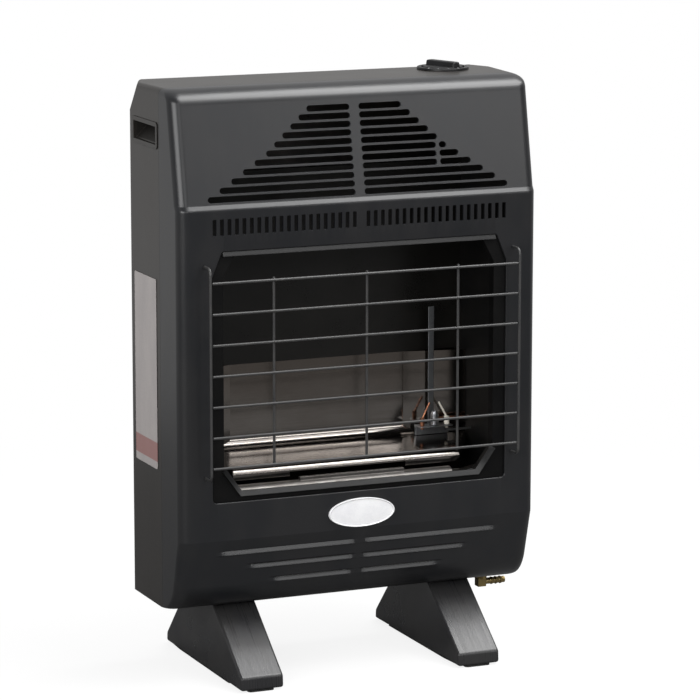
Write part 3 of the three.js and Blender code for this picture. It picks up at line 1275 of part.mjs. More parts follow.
/** Rotating plug of the tap, bored for the spindle. */
function tapPlug() {
  const floor = TAP_PLUG_BOTTOM + TAP_PLUG_FLOOR;
  const plug = rodZ(KNOB_X, KNOB_Y, TAP_PLUG_BOTTOM, TAP_PLUG_TOP, TAP_PLUG_RADIUS, 24);
  const bore = rodZ(KNOB_X, KNOB_Y, floor, TAP_PLUG_TOP + CUT, SPINDLE_RADIUS + GAP, 16);
  const gasway = rodX(
    KNOB_Y, TAP_PLUG_BOTTOM + TAP_PLUG_FLOOR / 2, KNOB_X - TAP_HALF, KNOB_X + TAP_HALF, TAP_GASWAY, 10,
  );
  return cut(plug, [bore, gasway]);
}

/** Steel spindle between the plug and the knob, with a flat under the knob. */
function tapSpindle() {
  const bottom = TAP_PLUG_BOTTOM + TAP_PLUG_FLOOR + KNOB_TRAVEL + SPINDLE_END_SPACE;
  const top = KNOB_SKIRT_TOP - KNOB_ROOF - GAP;
  const shaft = rodZ(KNOB_X, KNOB_Y, bottom, top, SPINDLE_RADIUS, 16);
  const flat = box(
    KNOB_X + SPINDLE_RADIUS - SPINDLE_FLAT, KNOB_X + SPINDLE_RADIUS + CUT,
    KNOB_Y - SPINDLE_RADIUS - CUT, KNOB_Y + SPINDLE_RADIUS + CUT, top - SPINDLE_FLAT_LENGTH, top + CUT,
  );
  return shaft.subtract(flat);
}

/** Turning knob: skirt, raised bar grip and the socket for the spindle. */
function controlKnob() {
  const edge = KNOB_EDGE;
  const skirtPoints = [
    [0, KNOB_SKIRT_BOTTOM], [KNOB_RADIUS - edge / 2, KNOB_SKIRT_BOTTOM],
    [KNOB_RADIUS, KNOB_SKIRT_BOTTOM + edge / 2], [KNOB_RADIUS, KNOB_SKIRT_TOP - edge],
    [KNOB_RADIUS - edge, KNOB_SKIRT_TOP], [0, KNOB_SKIRT_TOP],
  ];
  const skirt = new THREE.LatheGeometry(skirtPoints.map(([r, z]) => new THREE.Vector2(r, z)), 36);
  skirt.rotateX(Math.PI / 2);
  const half = KNOB_GRIP_WIDTH / 2;
  const gripShape = roundedRectangle(
    -half, half, KNOB_SKIRT_TOP - KNOB_GRIP_ROOT, KNOB_SKIRT_TOP + KNOB_GRIP_HEIGHT, KNOB_GRIP_CORNER,
  );
  const bar = prismY(gripShape, -KNOB_GRIP_LENGTH / 2, KNOB_GRIP_LENGTH / 2, 3);
  const grip = bar.rotate([0, 0, KNOB_GRIP_TURN]);
  const hub = rodZ(
    0, 0, KNOB_SKIRT_BOTTOM - KNOB_HUB_LENGTH, KNOB_SKIRT_BOTTOM + CUT, SPINDLE_RADIUS + KNOB_HUB_WALL, 16,
  );
  const socket = rodZ(0, 0, WELL_FLOOR_Z, KNOB_SKIRT_TOP - KNOB_ROOF, SPINDLE_RADIUS + GAP, 16);
  return join([solid(skirt), grip, hub]).subtract(socket).translate([KNOB_X, KNOB_Y, 0]);
}

/** Sunk well round the knob, with a sloping flange on the casing. */
function knobBezel() {
  const flangeBottom = CABINET_TOP + GAP;
  const flangeTop = flangeBottom + WELL_FLANGE_RISE;
  const outer = WELL_RADIUS + WELL_WALL;
  const rim = WELL_RADIUS + WELL_FLANGE;
  const eye = SPINDLE_RADIUS + KNOB_HUB_WALL + GAP * 2;
  const points = [
    [eye, WELL_FLOOR_Z], [outer, WELL_FLOOR_Z], [outer, flangeBottom], [rim, flangeBottom],
    [rim - WELL_EDGE, flangeBottom + WELL_FLANGE_RISE / 2], [WELL_RADIUS + WELL_EDGE, flangeTop],
    [WELL_RADIUS, flangeTop - WELL_EDGE], [WELL_RADIUS, WELL_FLOOR_Z + SHEET],
    [eye, WELL_FLOOR_Z + SHEET], [eye, WELL_FLOOR_Z],
  ];
  const lathe = new THREE.LatheGeometry(points.map(([r, z]) => new THREE.Vector2(r, z)), 36);
  lathe.rotateX(Math.PI / 2);
  lathe.translate(KNOB_X, KNOB_Y, 0);
  return solid(lathe);
}

/** Folded bracket that carries the tap and the igniter off the back panel. */
function tapBracket() {
  const x0 = PIEZO_X - PIEZO_RADIUS - BRACKET_MARGIN;
  const back = BACK_PANEL_FRONT_Y - GAP;
  const top = TAP_BOTTOM - GAP;
  const shelf = box(x0, TAP_RIGHT_X, KNOB_Y - TAP_HALF, back, top - SHEET, top);
  return shelf.add(box(x0, TAP_RIGHT_X, back - SHEET, back, top - BRACKET_BACK_HEIGHT, top));
}

/** Push-button spark igniter standing on the tap bracket. */
function piezoIgniter() {
  const bodyTop = TAP_BOTTOM + PIEZO_HEIGHT;
  const frontY = KNOB_Y - PIEZO_RADIUS;
  const body = rodZ(PIEZO_X, KNOB_Y, TAP_BOTTOM, bodyTop, PIEZO_RADIUS, 20);
  const plungerTop = bodyTop + PIEZO_PLUNGER_RISE;
  const plunger = rodZ(PIEZO_X, KNOB_Y, bodyTop - CUT, plungerTop, PIEZO_PLUNGER_RADIUS, 16);
  const terminal = rodY(PIEZO_X, TERMINAL_Z, frontY - TERMINAL_LENGTH, KNOB_Y, TERMINAL_RADIUS, 10);
  const socket = rodY(PIEZO_X, TERMINAL_Z, frontY - TERMINAL_LENGTH - CUT, frontY, LEAD_RADIUS + GAP, 10);
  return join([body, plunger, terminal]).subtract(socket);
}

/** Main gas pipe from the inlet up to the tap. */
function inletPipe() {
  const straightTop = INLET_STEM_TOP + INLET_PIPE_STRAIGHT;
  return bentRod([
    [INLET_X, INLET_Y, INLET_STEM_TOP + GAP], [INLET_X, INLET_Y, straightTop],
    [SIDE_PIPE_X, INLET_PORT_Y, straightTop + INLET_PIPE_SLANT],
    [SIDE_PIPE_X, INLET_PORT_Y, INLET_PORT_Z], [PIPE_START_X, INLET_PORT_Y, INLET_PORT_Z],
  ], INLET_PIPE_RADIUS, INLET_PIPE_BEND, 8, 4);
}

/** Gas pipe from the tap down to the injector. */
function burnerPipe() {
  return bentRod([
    [PIPE_START_X, KNOB_Y, OUTLET_PORT_Z], [SIDE_PIPE_X, KNOB_Y, OUTLET_PORT_Z],
    [SIDE_PIPE_X, KNOB_Y, BURNER_Z], [SIDE_PIPE_X, BURNER_Y, BURNER_Z],
    [FIREBOX_HALF_WIDTH - INJECTOR_SOCKET + GAP, BURNER_Y, BURNER_Z],
  ], BURNER_PIPE_RADIUS, BURNER_PIPE_BEND, 8, 3);
}

/** Thin pipe from the tap to the pilot, passing behind the electrode. */
function pilotPipe() {
  const behindY = PILOT_Y + PILOT_PIPE_PASS;
  const turnX = PILOT_X + PROBE_OFFSET + ELECTRODE_RADIUS + PILOT_PIPE_RADIUS + GAP * 2;
  return bentRod([
    [PIPE_START_X, PILOT_PORT_Y, OUTLET_PORT_Z], [SIDE_PIPE_X, PILOT_PORT_Y, OUTLET_PORT_Z],
    [SIDE_PIPE_X, PILOT_PORT_Y, PILOT_PIPE_Z + PILOT_PIPE_SLANT], [SIDE_PIPE_X, PILOT_Y, PILOT_PIPE_Z],
    [turnX + PILOT_PIPE_SWING, PILOT_Y, PILOT_PIPE_Z], [turnX, behindY, PILOT_PIPE_Z],
    [PILOT_X, behindY, PILOT_PIPE_Z], [PILOT_X, PILOT_Y + PILOT_BORE_START + GAP, PILOT_PIPE_Z],
  ], PILOT_PIPE_RADIUS, THIN_PIPE_BEND, 8, 3);
}

/** Insulated lead from the igniter to the spark electrode. */
function ignitionLead() {
  const endX = PILOT_X + PROBE_OFFSET;
  return bentRod([
    [PIEZO_X, KNOB_Y - PIEZO_RADIUS - GAP, TERMINAL_Z], [PIEZO_X, LEAD_Y, TERMINAL_Z],
    [SIDE_PIPE_X, LEAD_Y, TERMINAL_Z], [SIDE_PIPE_X, LEAD_Y, LEAD_Z],
    [endX, LEAD_Y, LEAD_Z], [endX, PILOT_Y + LEAD_RADIUS, LEAD_Z],
  ], LEAD_RADIUS, THIN_PIPE_BEND, 6, 3);
}

/** Brass elbow: a stem up through the base plate and a ribbed hose tail to the right. */
function inletElbow() {
  const half = INLET_KNUCKLE;
  const stem = rodZ(INLET_X, INLET_Y, INLET_Z, INLET_STEM_TOP, INLET_RADIUS, 16);
  const knuckle = box(
    INLET_X - half, INLET_X + half, INLET_Y - half, INLET_Y + half, INLET_Z - half, INLET_Z + half,
  );
  const hexagon = rodZ(INLET_X, INLET_Y, INLET_Z + half - CUT, BASE_Z - GAP, INLET_HEXAGON, 6);
  const parts = [stem, knuckle, hexagon, rodX(INLET_Y, INLET_Z, INLET_X, INLET_END_X, INLET_TAIL_RADIUS, 16)];
  for (let i = 0; i < HOSE_RIBS; i += 1) {
    const x = INLET_END_X - HOSE_RIBS_LENGTH + i * HOSE_RIB_PITCH;
    const root = INLET_TAIL_RADIUS - HOSE_RIB_RISE / 2;
    parts.push(rodX(INLET_Y, INLET_Z, x, x + HOSE_RIB_LENGTH, INLET_TAIL_RADIUS + HOSE_RIB_RISE, 16, root));
  }
  return cut(join(parts), [
    rodX(INLET_Y, INLET_Z, INLET_X, INLET_END_X + CUT, INLET_BORE, 12),
    rodZ(INLET_X, INLET_Y, INLET_Z, INLET_STEM_TOP + CUT, INLET_BORE, 12),
  ]);
}

/** Lock nut of the inlet on top of the base plate. */
function inletNut() {
  const bottom = FLOOR_TOP_Z + GAP;
  const top = bottom + INLET_NUT_HEIGHT;
  const nut = rodZ(INLET_X, INLET_Y, bottom, top, INLET_NUT_RADIUS, 6);
  return nut.subtract(rodZ(INLET_X, INLET_Y, bottom - CUT, top + CUT, INLET_RADIUS + GAP, 16));
}

// ---------------------------------------------------------------- guard

/** Welded grid of bars across the window. */
function wireGuard() {
  const bars = [];
  const reach = GUARD_HALF_WIDTH - WIRE_RADIUS - GAP;
  for (let row = 0; row < GUARD_ROWS; row += 1) {
    bars.push(rodX(GUARD_Y, GUARD_BOTTOM_Z + row * GUARD_PITCH, -reach, reach, WIRE_RADIUS, 8));
  }
  const uprightY = GUARD_Y + 2 * WIRE_RADIUS - WELD_SINK;
  const z0 = GUARD_BOTTOM_Z - GUARD_UPRIGHT_OVERRUN;
  const z1 = GUARD_TOP_Z + GUARD_UPRIGHT_OVERRUN;
  for (const x of [-GUARD_UPRIGHT_X, 0, GUARD_UPRIGHT_X]) {
    bars.push(rodZ(x, uprightY, z0, z1, WIRE_RADIUS, 8));
  }
  return join(bars);
}

/** Side rod of the guard, its ends bent back through the front moulding. */
function guardSideRod(side) {
  const x = side * GUARD_HALF_WIDTH;
  const inside = BEZEL_FRONT_Y + SHEET + ROD_END_LENGTH;
  return bentRod([
    [x, inside, GUARD_ROD_BOTTOM], [x, GUARD_Y, GUARD_ROD_BOTTOM],
    [x, GUARD_Y, GUARD_ROD_TOP], [x, inside, GUARD_ROD_TOP],
  ], WIRE_RADIUS, GUARD_BEND, 8, 4);
}

/** Push-on clip that holds a rod end behind the front moulding. */
function guardClip(side, z) {
  const x = side * GUARD_HALF_WIDTH;
  const back = BEZEL_FRONT_Y + SHEET;
  const disc = rodY(x, z, BEZEL_FRONT_Y, back, CLIP_RADIUS, 12);
  return disc.subtract(rodY(x, z, BEZEL_FRONT_Y - CUT, back + CUT, WIRE_RADIUS + GAP, 8));
}

// ---------------------------------------------------------------- feet

/** Side profile of a foot. */
function footProfile() {
  return outline([
    [FOOT_FRONT_Y, FOOT_BOTTOM], [FOOT_BACK_Y, FOOT_BOTTOM],
    [FOOT_BACK_Y - FOOT_LEAN, FOOT_BOTTOM + FOOT_HEEL_LIP], [FOOT_TOP_BACK_Y, FOOT_TOP],
    [TOE_Y, FOOT_TOP], [FOOT_FRONT_Y + FOOT_LEAN, FOOT_BOTTOM + FOOT_LIP],
  ]);
}

/** Side profile of the hollow under a foot, between the solid ends over its pads. */
function footHollow() {
  const front = FOOT_FRONT_Y + PAD_INSET * 2 + PAD_LENGTH;
  const back = FOOT_BACK_Y - PAD_INSET * 2 - PAD_LENGTH;
  const roof = FOOT_TOP - FOOT_ROOF;
  return outline([
    [front, FOOT_BOTTOM - CUT], [back, FOOT_BOTTOM - CUT], [back, FOOT_BOTTOM + FOOT_LIP],
    [FOOT_TOP_BACK_Y - FOOT_WALL, roof], [TOE_Y + FOOT_WALL, roof],
    [front, FOOT_BOTTOM + FOOT_LIP + FOOT_SHELL_STEP],
  ]);
}

/** Splayed moulded foot, hollow underneath. */
function foot(side) {
  const x = side * FOOT_X;
  const inner = FOOT_HALF_WIDTH - FOOT_WALL;
  const holes = [FOOT_SCREW_FRONT_Y, FOOT_SCREW_BACK_Y].map(
    (y) => rodZ(x, y, FOOT_TOP - FOOT_ROOF - CUT, FOOT_TOP + CUT, FOOT_SCREW_RADIUS + GAP, 12),
  );
  const outer = prismX(footProfile(), x - FOOT_HALF_WIDTH, x + FOOT_HALF_WIDTH);
  return cut(outer, [prismX(footHollow(), x - inner, x + inner), ...holes]);
}

/** Rubber pad under one end of a foot. */
function footPad(side, front) {
  const x = side * FOOT_X;
  const y0 = front ? FOOT_FRONT_Y + PAD_INSET : FOOT_BACK_Y - PAD_INSET - PAD_LENGTH;
  const shape = roundedRectangle(x - PAD_WIDTH / 2, x + PAD_WIDTH / 2, y0, y0 + PAD_LENGTH, PAD_CORNER);
  return prismZ(shape, 0, PAD_THICKNESS, 2);
}

/** Hexagon screw up through a foot into the base plate. */
function footScrew(side, y) {
  const x = side * FOOT_X;
  const seat = FOOT_TOP - FOOT_ROOF - GAP;
  const head = rodZ(x, y, seat - FOOT_SCREW_HEAD, seat, FOOT_SCREW_HEAD_RADIUS, 6);
  return head.add(rodZ(x, y, seat - CUT, FLOOR_TOP_Z + FOOT_SCREW_END, FOOT_SCREW_RADIUS, 12));
}

/** Pan-head screw of the back panel. */
function backScrew(x, z) {
  const face = BACK_Y + GAP;
  const head = rodY(x, z, face, face + SCREW_HEAD, SCREW_HEAD_RADIUS, 12);
  return head.add(rodY(x, z, FLANGE_FRONT_Y - SCREW_TIP, face + SCREW_HEAD / 2, SCREW_RADIUS, 8));
}

// ---------------------------------------------------------------- assembly

place('front_fascia', frontFascia(), CHARCOAL);
place('casing_wrap', casingWrap(), CHARCOAL);
place('back_panel', backPanel(), CHARCOAL);
place('base_plate', basePlate(), CHARCOAL);
place('left_hand_grip', handGrip(-1), BLACK_PLASTIC);
place('right_hand_grip', handGrip(1), BLACK_PLASTIC);
place('badge_plate', badgePlate(), WHITE_BADGE);
place('side_label_plate', sideLabelPlate(), LABEL_GREY);

place('firebox_bezel', fireboxBezel(), MATT_BLACK);
place('firebox_left_wall', fireboxWall(-1), MATT_BLACK);
place('firebox_right_wall', fireboxWall(1), MATT_BLACK);
place('firebox_back', fireboxBack(), DARK_STEEL);
place('top_deflector', topDeflector(), DARK_STEEL);
place('heat_shield', heatShield(), ZINC);
place('reflector_tray', reflectorTray(), POLISHED);

place('burner_tube', burnerTube(), DARK_STEEL);
place('venturi_tube', venturiTube(), ZINC);
place('gas_injector', gasInjector(), BRASS);
place('burner_bracket_left', burnerBracket(-1), ZINC);
place('burner_bracket_right', burnerBracket(1), ZINC);

place('pilot_bracket', pilotBracket(), POLISHED);
place('pilot_burner', pilotBurner(), BRASS);
place('thermocouple', pilotProbe(-1, THERMOCOUPLE_RADIUS, THERMOCOUPLE_REACH), COPPER);
place('spark_electrode', pilotProbe(1, ELECTRODE_RADIUS, ELECTRODE_REACH), CERAMIC);

place('tap_body', tapBody(), BRASS);
place('tap_plug', tapPlug(), BRASS);
place('tap_spindle', tapSpindle(), ZINC);
place('control_knob', controlKnob(), BLACK_PLASTIC);
place('knob_bezel', knobBezel(), BLACK_PLASTIC);
place('tap_bracket', tapBracket(), ZINC);
place('piezo_igniter', piezoIgniter(), BLACK_PLASTIC);
place('inlet_pipe', inletPipe(), COPPER);
place('burner_pipe', burnerPipe(), COPPER);
place('pilot_pipe', pilotPipe(), COPPER);
place('ignition_lead', ignitionLead(), RUBBER);
place('inlet_elbow', inletElbow(), BRASS);
place('inlet_nut', inletNut(), BRASS);

place('wire_guard', wireGuard(), WIRE);
place('guard_rod_left', guardSideRod(-1), WIRE);
place('guard_rod_right', guardSideRod(1), WIRE);
for (const [side, name] of [[-1, 'left'], [1, 'right']]) {
  place(`guard_clip_${name}_lower`, guardClip(side, GUARD_ROD_BOTTOM), ZINC);
  place(`guard_clip_${name}_upper`, guardClip(side, GUARD_ROD_TOP), ZINC);
  place(`${name}_foot`, foot(side), FOOT_PLASTIC);
  place(`${name}_foot_pad_front`, footPad(side, true), RUBBER);
  place(`${name}_foot_pad_back`, footPad(side, false), RUBBER);
  place(`${name}_foot_screw_front`, footScrew(side, FOOT_SCREW_FRONT_Y), ZINC);
  place(`${name}_foot_screw_back`, footScrew(side, FOOT_SCREW_BACK_Y), ZINC);
}
backScrewSpots().forEach(([x, z], i) => place(`back_screw_${i + 1}`, backScrew(x, z), ZINC));

export default heater;
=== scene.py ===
"""Dresses a slim free-standing gas heater: cabinet, firebox, guard, controls and feet."""
import logging
import math
from dataclasses import dataclass, field
from enum import Enum
from typing import Any, Optional, Sequence, Union

import bmesh
import bpy
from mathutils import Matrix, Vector


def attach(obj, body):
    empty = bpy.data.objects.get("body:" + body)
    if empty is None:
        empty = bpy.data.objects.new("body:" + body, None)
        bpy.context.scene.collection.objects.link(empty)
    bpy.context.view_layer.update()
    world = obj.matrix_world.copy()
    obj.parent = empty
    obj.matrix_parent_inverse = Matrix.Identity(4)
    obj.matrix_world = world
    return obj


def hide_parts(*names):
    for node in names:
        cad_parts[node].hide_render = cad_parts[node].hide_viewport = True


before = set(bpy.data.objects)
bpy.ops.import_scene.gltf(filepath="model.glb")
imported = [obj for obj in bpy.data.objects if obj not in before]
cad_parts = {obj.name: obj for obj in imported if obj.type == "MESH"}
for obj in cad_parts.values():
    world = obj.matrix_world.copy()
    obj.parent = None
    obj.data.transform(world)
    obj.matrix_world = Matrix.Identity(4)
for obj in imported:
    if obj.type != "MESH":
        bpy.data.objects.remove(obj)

LOG = logging.getLogger("heater")
MM = 0.001
PAST = 1.0  # how far a cutting tool reaches past what it cuts, in millimetres
CABINET_BODY = "cabinet"
KNOB_BODY = "knob"

Flat = tuple[float, float]
Point = tuple[float, float, float]
Ring = list[Point]
Piece = bpy.types.Object


# ---------------------------------------------------------------- shader maths


class Signal:
    """One output socket of a node tree, with arithmetic that adds Math nodes."""

    def __init__(self, graph: "Graph", socket: bpy.types.NodeSocket) -> None:
        """Keeps the socket and the graph it belongs to."""
        self.graph = graph
        self.socket = socket

    def _math(self, operation: str, first: "Value", second: "Value") -> "Signal":
        """Adds one Math node."""
        return self.graph.node("ShaderNodeMath", {"operation": operation}, {0: first, 1: second})

    def __add__(self, other: "Value") -> "Signal":
        """Sum."""
        return self._math("ADD", self, other)

    def __radd__(self, other: "Value") -> "Signal":
        """Sum with the number first."""
        return self._math("ADD", other, self)

    def __sub__(self, other: "Value") -> "Signal":
        """Difference."""
        return self._math("SUBTRACT", self, other)

    def __rsub__(self, other: "Value") -> "Signal":
        """Difference with the number first."""
        return self._math("SUBTRACT", other, self)

    def __mul__(self, other: "Value") -> "Signal":
        """Product."""
        return self._math("MULTIPLY", self, other)

    def __rmul__(self, other: "Value") -> "Signal":
        """Product with the number first."""
        return self._math("MULTIPLY", other, self)

    def __truediv__(self, other: "Value") -> "Signal":
        """Quotient."""
        return self._math("DIVIDE", self, other)

    def most(self, other: "Value") -> "Signal":
        """The larger of the two."""
        return self._math("MAXIMUM", self, other)

    def ramp(self, low: float, high: float) -> "Signal":
        """Rises smoothly from 0 at low to 1 at high, and falls where low is the larger."""
        first, last = min(low, high), max(low, high)
        ends = (0.0, 1.0) if low < high else (1.0, 0.0)
        return self.graph.node(
            "ShaderNodeMapRange",
            {"interpolation_type": "SMOOTHSTEP"},
            {"Value": self, "From Min": first, "From Max": last, "To Min": ends[0], "To Max": ends[1]},
        )


Value = Union[Signal, float]
Colour = tuple[float, float, float]


def opaque(colour: Colour) -> tuple[float, float, float, float]:
    """The colour with full opacity."""
    return (*colour, 1.0)


class Graph:
    """Node tree of one material."""

    def __init__(self, title: str) -> None:
        """Starts an empty tree."""
        self.material = bpy.data.materials.new(title)
        self.material.use_nodes = True
        self.tree = self.material.node_tree
        self.tree.nodes.clear()

    @classmethod
    def of(cls, tree: bpy.types.NodeTree) -> "Graph":
        """Graph over a tree that isn't a material's, emptied first."""
        graph = cls.__new__(cls)
        graph.tree = tree
        tree.nodes.clear()
        return graph

    def node(
        self,
        kind: str,
        settings: Optional[dict[str, Any]] = None,
        inputs: Optional[dict[Union[str, int], Any]] = None,
        output: Union[str, int] = 0,
    ) -> Signal:
        """Adds a node.

        Args:
            kind: Blender's name of the node type.
            settings: attributes that are set first.
            inputs: values or signals of its sockets, by name or place.
            output: which output is wanted.

        Returns:
            That output.
        """
        made = self.tree.nodes.new(kind)
        for key, value in (settings or {}).items():
            setattr(made, key, value)
        for key, value in (inputs or {}).items():
            socket = made.inputs[key]
            if isinstance(value, Signal):
                self.tree.links.new(value.socket, socket)
            else:
                socket.default_value = value
        return Signal(self, made.outputs[output])

    def place(self, stretch: Point = (1.0, 1.0, 1.0)) -> Signal:
        """Position on the piece, in metres, stretched along the axes."""
        spot = self.node("ShaderNodeTexCoord", output="Object")
        return self.node("ShaderNodeVectorMath", {"operation": "MULTIPLY"}, {0: spot, 1: stretch})

    def along(self, axis: str) -> Signal:
        """One coordinate of the position, in metres."""
        return self.node("ShaderNodeSeparateXYZ", inputs={0: self.place()}, output=axis)

    def noise(self, stretch: Point, detail: float = 4.0, roughness: float = 0.55) -> Signal:
        """Noise with its cycles per metre along each axis."""
        inputs = {"Vector": self.place(stretch), "Scale": 1.0, "Detail": detail, "Roughness": roughness}
        return self.node("ShaderNodeTexNoise", inputs=inputs)

    def cells(self, scale: float) -> Signal:
        """Distance to the middle of scattered cells, with their cycles per metre."""
        return self.node("ShaderNodeTexVoronoi", inputs={"Vector": self.place(), "Scale": scale})

    def mix(self, share: Value, first: Any, second: Any) -> Signal:
        """Blends two colours.

        Args:
            share: how much of the second colour shows.
            first: colour or signal at 0.
            second: colour or signal at 1.

        Returns:
            The blended colour.
        """
        ends = [opaque(c) if isinstance(c, tuple) else c for c in (first, second)]
        settings = {"data_type": "RGBA"}
        return self.node("ShaderNodeMix", settings, {0: share, 6: ends[0], 7: ends[1]}, output=2)

    def bump(self, height: Signal, distance: float, under: Optional[Signal] = None) -> Signal:
        """Normal of a relief.

        Args:
            height: relief from 0 to 1.
            distance: how high 1 stands, in metres.
            under: normal of a coarser relief below it.

        Returns:
            The normal.
        """
        inputs: dict[Union[str, int], Any] = {"Height": height, "Distance": distance, "Strength": 1.0}
        if under is not None:
            inputs["Normal"] = under
        return self.node("ShaderNodeBump", inputs=inputs)

    def surface(self, shader: Signal) -> bpy.types.Material:
        """Ends the tree in the given shader."""
        end = self.tree.nodes.new("ShaderNodeOutputMaterial")
        self.tree.links.new(shader.socket, end.inputs["Surface"])
        return self.material


# ---------------------------------------------------------------- finishes


MIDDLE = 0.5  # what a noise swings about


@dataclass(frozen=True)
class Finish:
    """A surface with drifting colour, uneven gloss and a fine grain."""

    title: str
    colour: Colour
    drift: Colour
    metallic: float = 0.0
    roughness: float = 0.4
    spread: float = 0.1
    mottle: Point = (30.0, 30.0, 30.0)
    grain: Point = (700.0, 700.0, 700.0)
    relief: float = 0.00002
    wave: float = 0.0
    specular: float = 0.5
    tint: Colour = (1.0, 1.0, 1.0)
    coat: float = 0.0
    coat_roughness: float = 0.12
    tone_share: float = 0.7
    tone_span: Flat = (0.35, 0.65)
    gloss_share: float = 0.6

    def blend(self, mottle: Signal, grain: Signal, share: float) -> Signal:
        """Mottle and grain together, with the mottle's share of the whole."""
        return mottle * share + grain * (1 - share)

    def tone(self, graph: Graph, mottle: Signal, grain: Signal) -> Signal:
        """Colour over the surface."""
        share = self.blend(mottle, grain, self.tone_share).ramp(*self.tone_span)
        return graph.mix(share, self.colour, self.drift)

    def gloss(self, graph: Graph, mottle: Signal, grain: Signal) -> Signal:
        """Roughness over the surface."""
        swing = self.blend(mottle, grain, self.gloss_share) - MIDDLE
        return swing * (self.spread * 2.0) + self.roughness

    def normal(self, graph: Graph, mottle: Signal, grain: Signal) -> Signal:
        """Relief of the surface."""
        coarse = graph.bump(mottle, self.wave) if self.wave else None
        return graph.bump(grain, self.relief, coarse)

    def build(self) -> bpy.types.Material:
        """Makes the material."""
        graph = Graph(self.title)
        mottle = graph.noise(self.mottle)
        grain = graph.noise(self.grain, detail=3.0, roughness=0.5)
        shader = graph.node(
            "ShaderNodeBsdfPrincipled",
            inputs={
                "Base Color": self.tone(graph, mottle, grain),
                "Metallic": self.metallic,
                "Roughness": self.gloss(graph, mottle, grain),
                "Specular IOR Level": self.specular,
                "Specular Tint": opaque(self.tint),
                "Coat Weight": self.coat,
                "Coat Roughness": self.coat_roughness,
                "Normal": self.normal(graph, mottle, grain),
            },
        )
        return graph.surface(shader)


@dataclass(frozen=True)
class BakedPaint(Finish):
    """Satin paint with orange peel and specks of dust."""

    tone_span: Flat = (0.38, 0.62)
    dust: Colour = (0.09, 0.088, 0.086)
    dust_cells: float = 160.0
    dust_size: Flat = (0.1, 0.03)
    dust_patches: Flat = (0.5, 0.66)
    dust_cover: float = 0.12

    def tone(self, graph: Graph, mottle: Signal, grain: Signal) -> Signal:
        """Colour that lightens where dust lies."""
        base = graph.mix(mottle.ramp(*self.tone_span), self.colour, self.drift)
        specks = graph.cells(self.dust_cells).ramp(*self.dust_size) * mottle.ramp(*self.dust_patches)
        return graph.mix(specks * self.dust_cover, base, self.dust)


@dataclass(frozen=True)
class HeatedSheet(Finish):
    """Polished sheet that heat has browned above the burner."""

    tone_share: float = 0.5
    tone_span: Flat = (0.36, 0.64)
    brown: Colour = (0.2, 0.165, 0.14)
    brown_span: Flat = (0.24, 0.33)
    brown_drift: float = 0.05
    brown_cover: float = 0.6

    def tone(self, graph: Graph, mottle: Signal, grain: Signal) -> Signal:
        """Colour that turns brown with height, unevenly."""
        height = graph.along("Z") + (mottle - MIDDLE) * self.brown_drift
        heat = height.ramp(*self.brown_span) * self.brown_cover
        return graph.mix(heat, super().tone(graph, mottle, grain), self.brown)


@dataclass(frozen=True)
class BandedPlate(Finish):
    """Bare plate with one plain band of colour near its lower end."""

    band: Colour = (0.27, 0.12, 0.11)
    band_edges: tuple[Flat, Flat] = ((0.240, 0.241), (0.262, 0.261))
    band_cover: float = 0.85

    def tone(self, graph: Graph, mottle: Signal, grain: Signal) -> Signal:
        """Plate colour with the band on it."""
        base = super().tone(graph, mottle, grain)
        height = graph.along("Z")
        lower, upper = self.band_edges
        return graph.mix(height.ramp(*lower) * height.ramp(*upper) * self.band_cover, base, self.band)


@dataclass(frozen=True)
class PocketPlastic(Finish):
    """Moulded plastic whose mouth is painted like the casing, over a pocket coloured near black as painted
    shade.
    """

    # near-black colour of the pocket: painted shade in the recess
    pocket_shade: Colour = (0.0022, 0.0021, 0.002)
    mouth: Flat = (0.2061, 0.2070)
    dulling: float = 0.3

    def rim(self, graph: Graph) -> Signal:
        """One at the mouth on either side, which wears the casing colour; nothing in the pocket, which wears
        the painted shade.
        """
        across = graph.along("X")
        return across.most(0 - across).ramp(*self.mouth)

    def tone(self, graph: Graph, mottle: Signal, grain: Signal) -> Signal:
        """Paint at the mouth, and painted shade in the pocket behind it."""
        return graph.mix(self.rim(graph), self.pocket_shade, super().tone(graph, mottle, grain))

    def gloss(self, graph: Graph, mottle: Signal, grain: Signal) -> Signal:
        """Roughness, higher in the pocket."""
        return (1 - self.rim(graph)) * self.dulling + super().gloss(graph, mottle, grain)


@dataclass(frozen=True)
class StreakedMoulding(Finish):
    """Moulded plastic with a mould texture and long drag marks down its slopes."""

    sheen_streaks: Point = (420.0, 9.0, 9.0)
    sheen_swing: float = 0.3
    drag_marks: Point = (520.0, 8.0, 8.0)
    drag_depth: float = 0.00012

    def gloss(self, graph: Graph, mottle: Signal, grain: Signal) -> Signal:
        """Roughness with streaks along the slopes."""
        streaks = graph.noise(self.sheen_streaks, detail=3.0, roughness=0.6) - MIDDLE
        return streaks * self.sheen_swing + (mottle - MIDDLE) * self.spread + self.roughness

    def normal(self, graph: Graph, mottle: Signal, grain: Signal) -> Signal:
        """Relief with the streaks under the grain."""
        marks = graph.noise(self.drag_marks, detail=2.0, roughness=0.5)
        return graph.bump(grain, self.relief, graph.bump(marks, self.drag_depth))


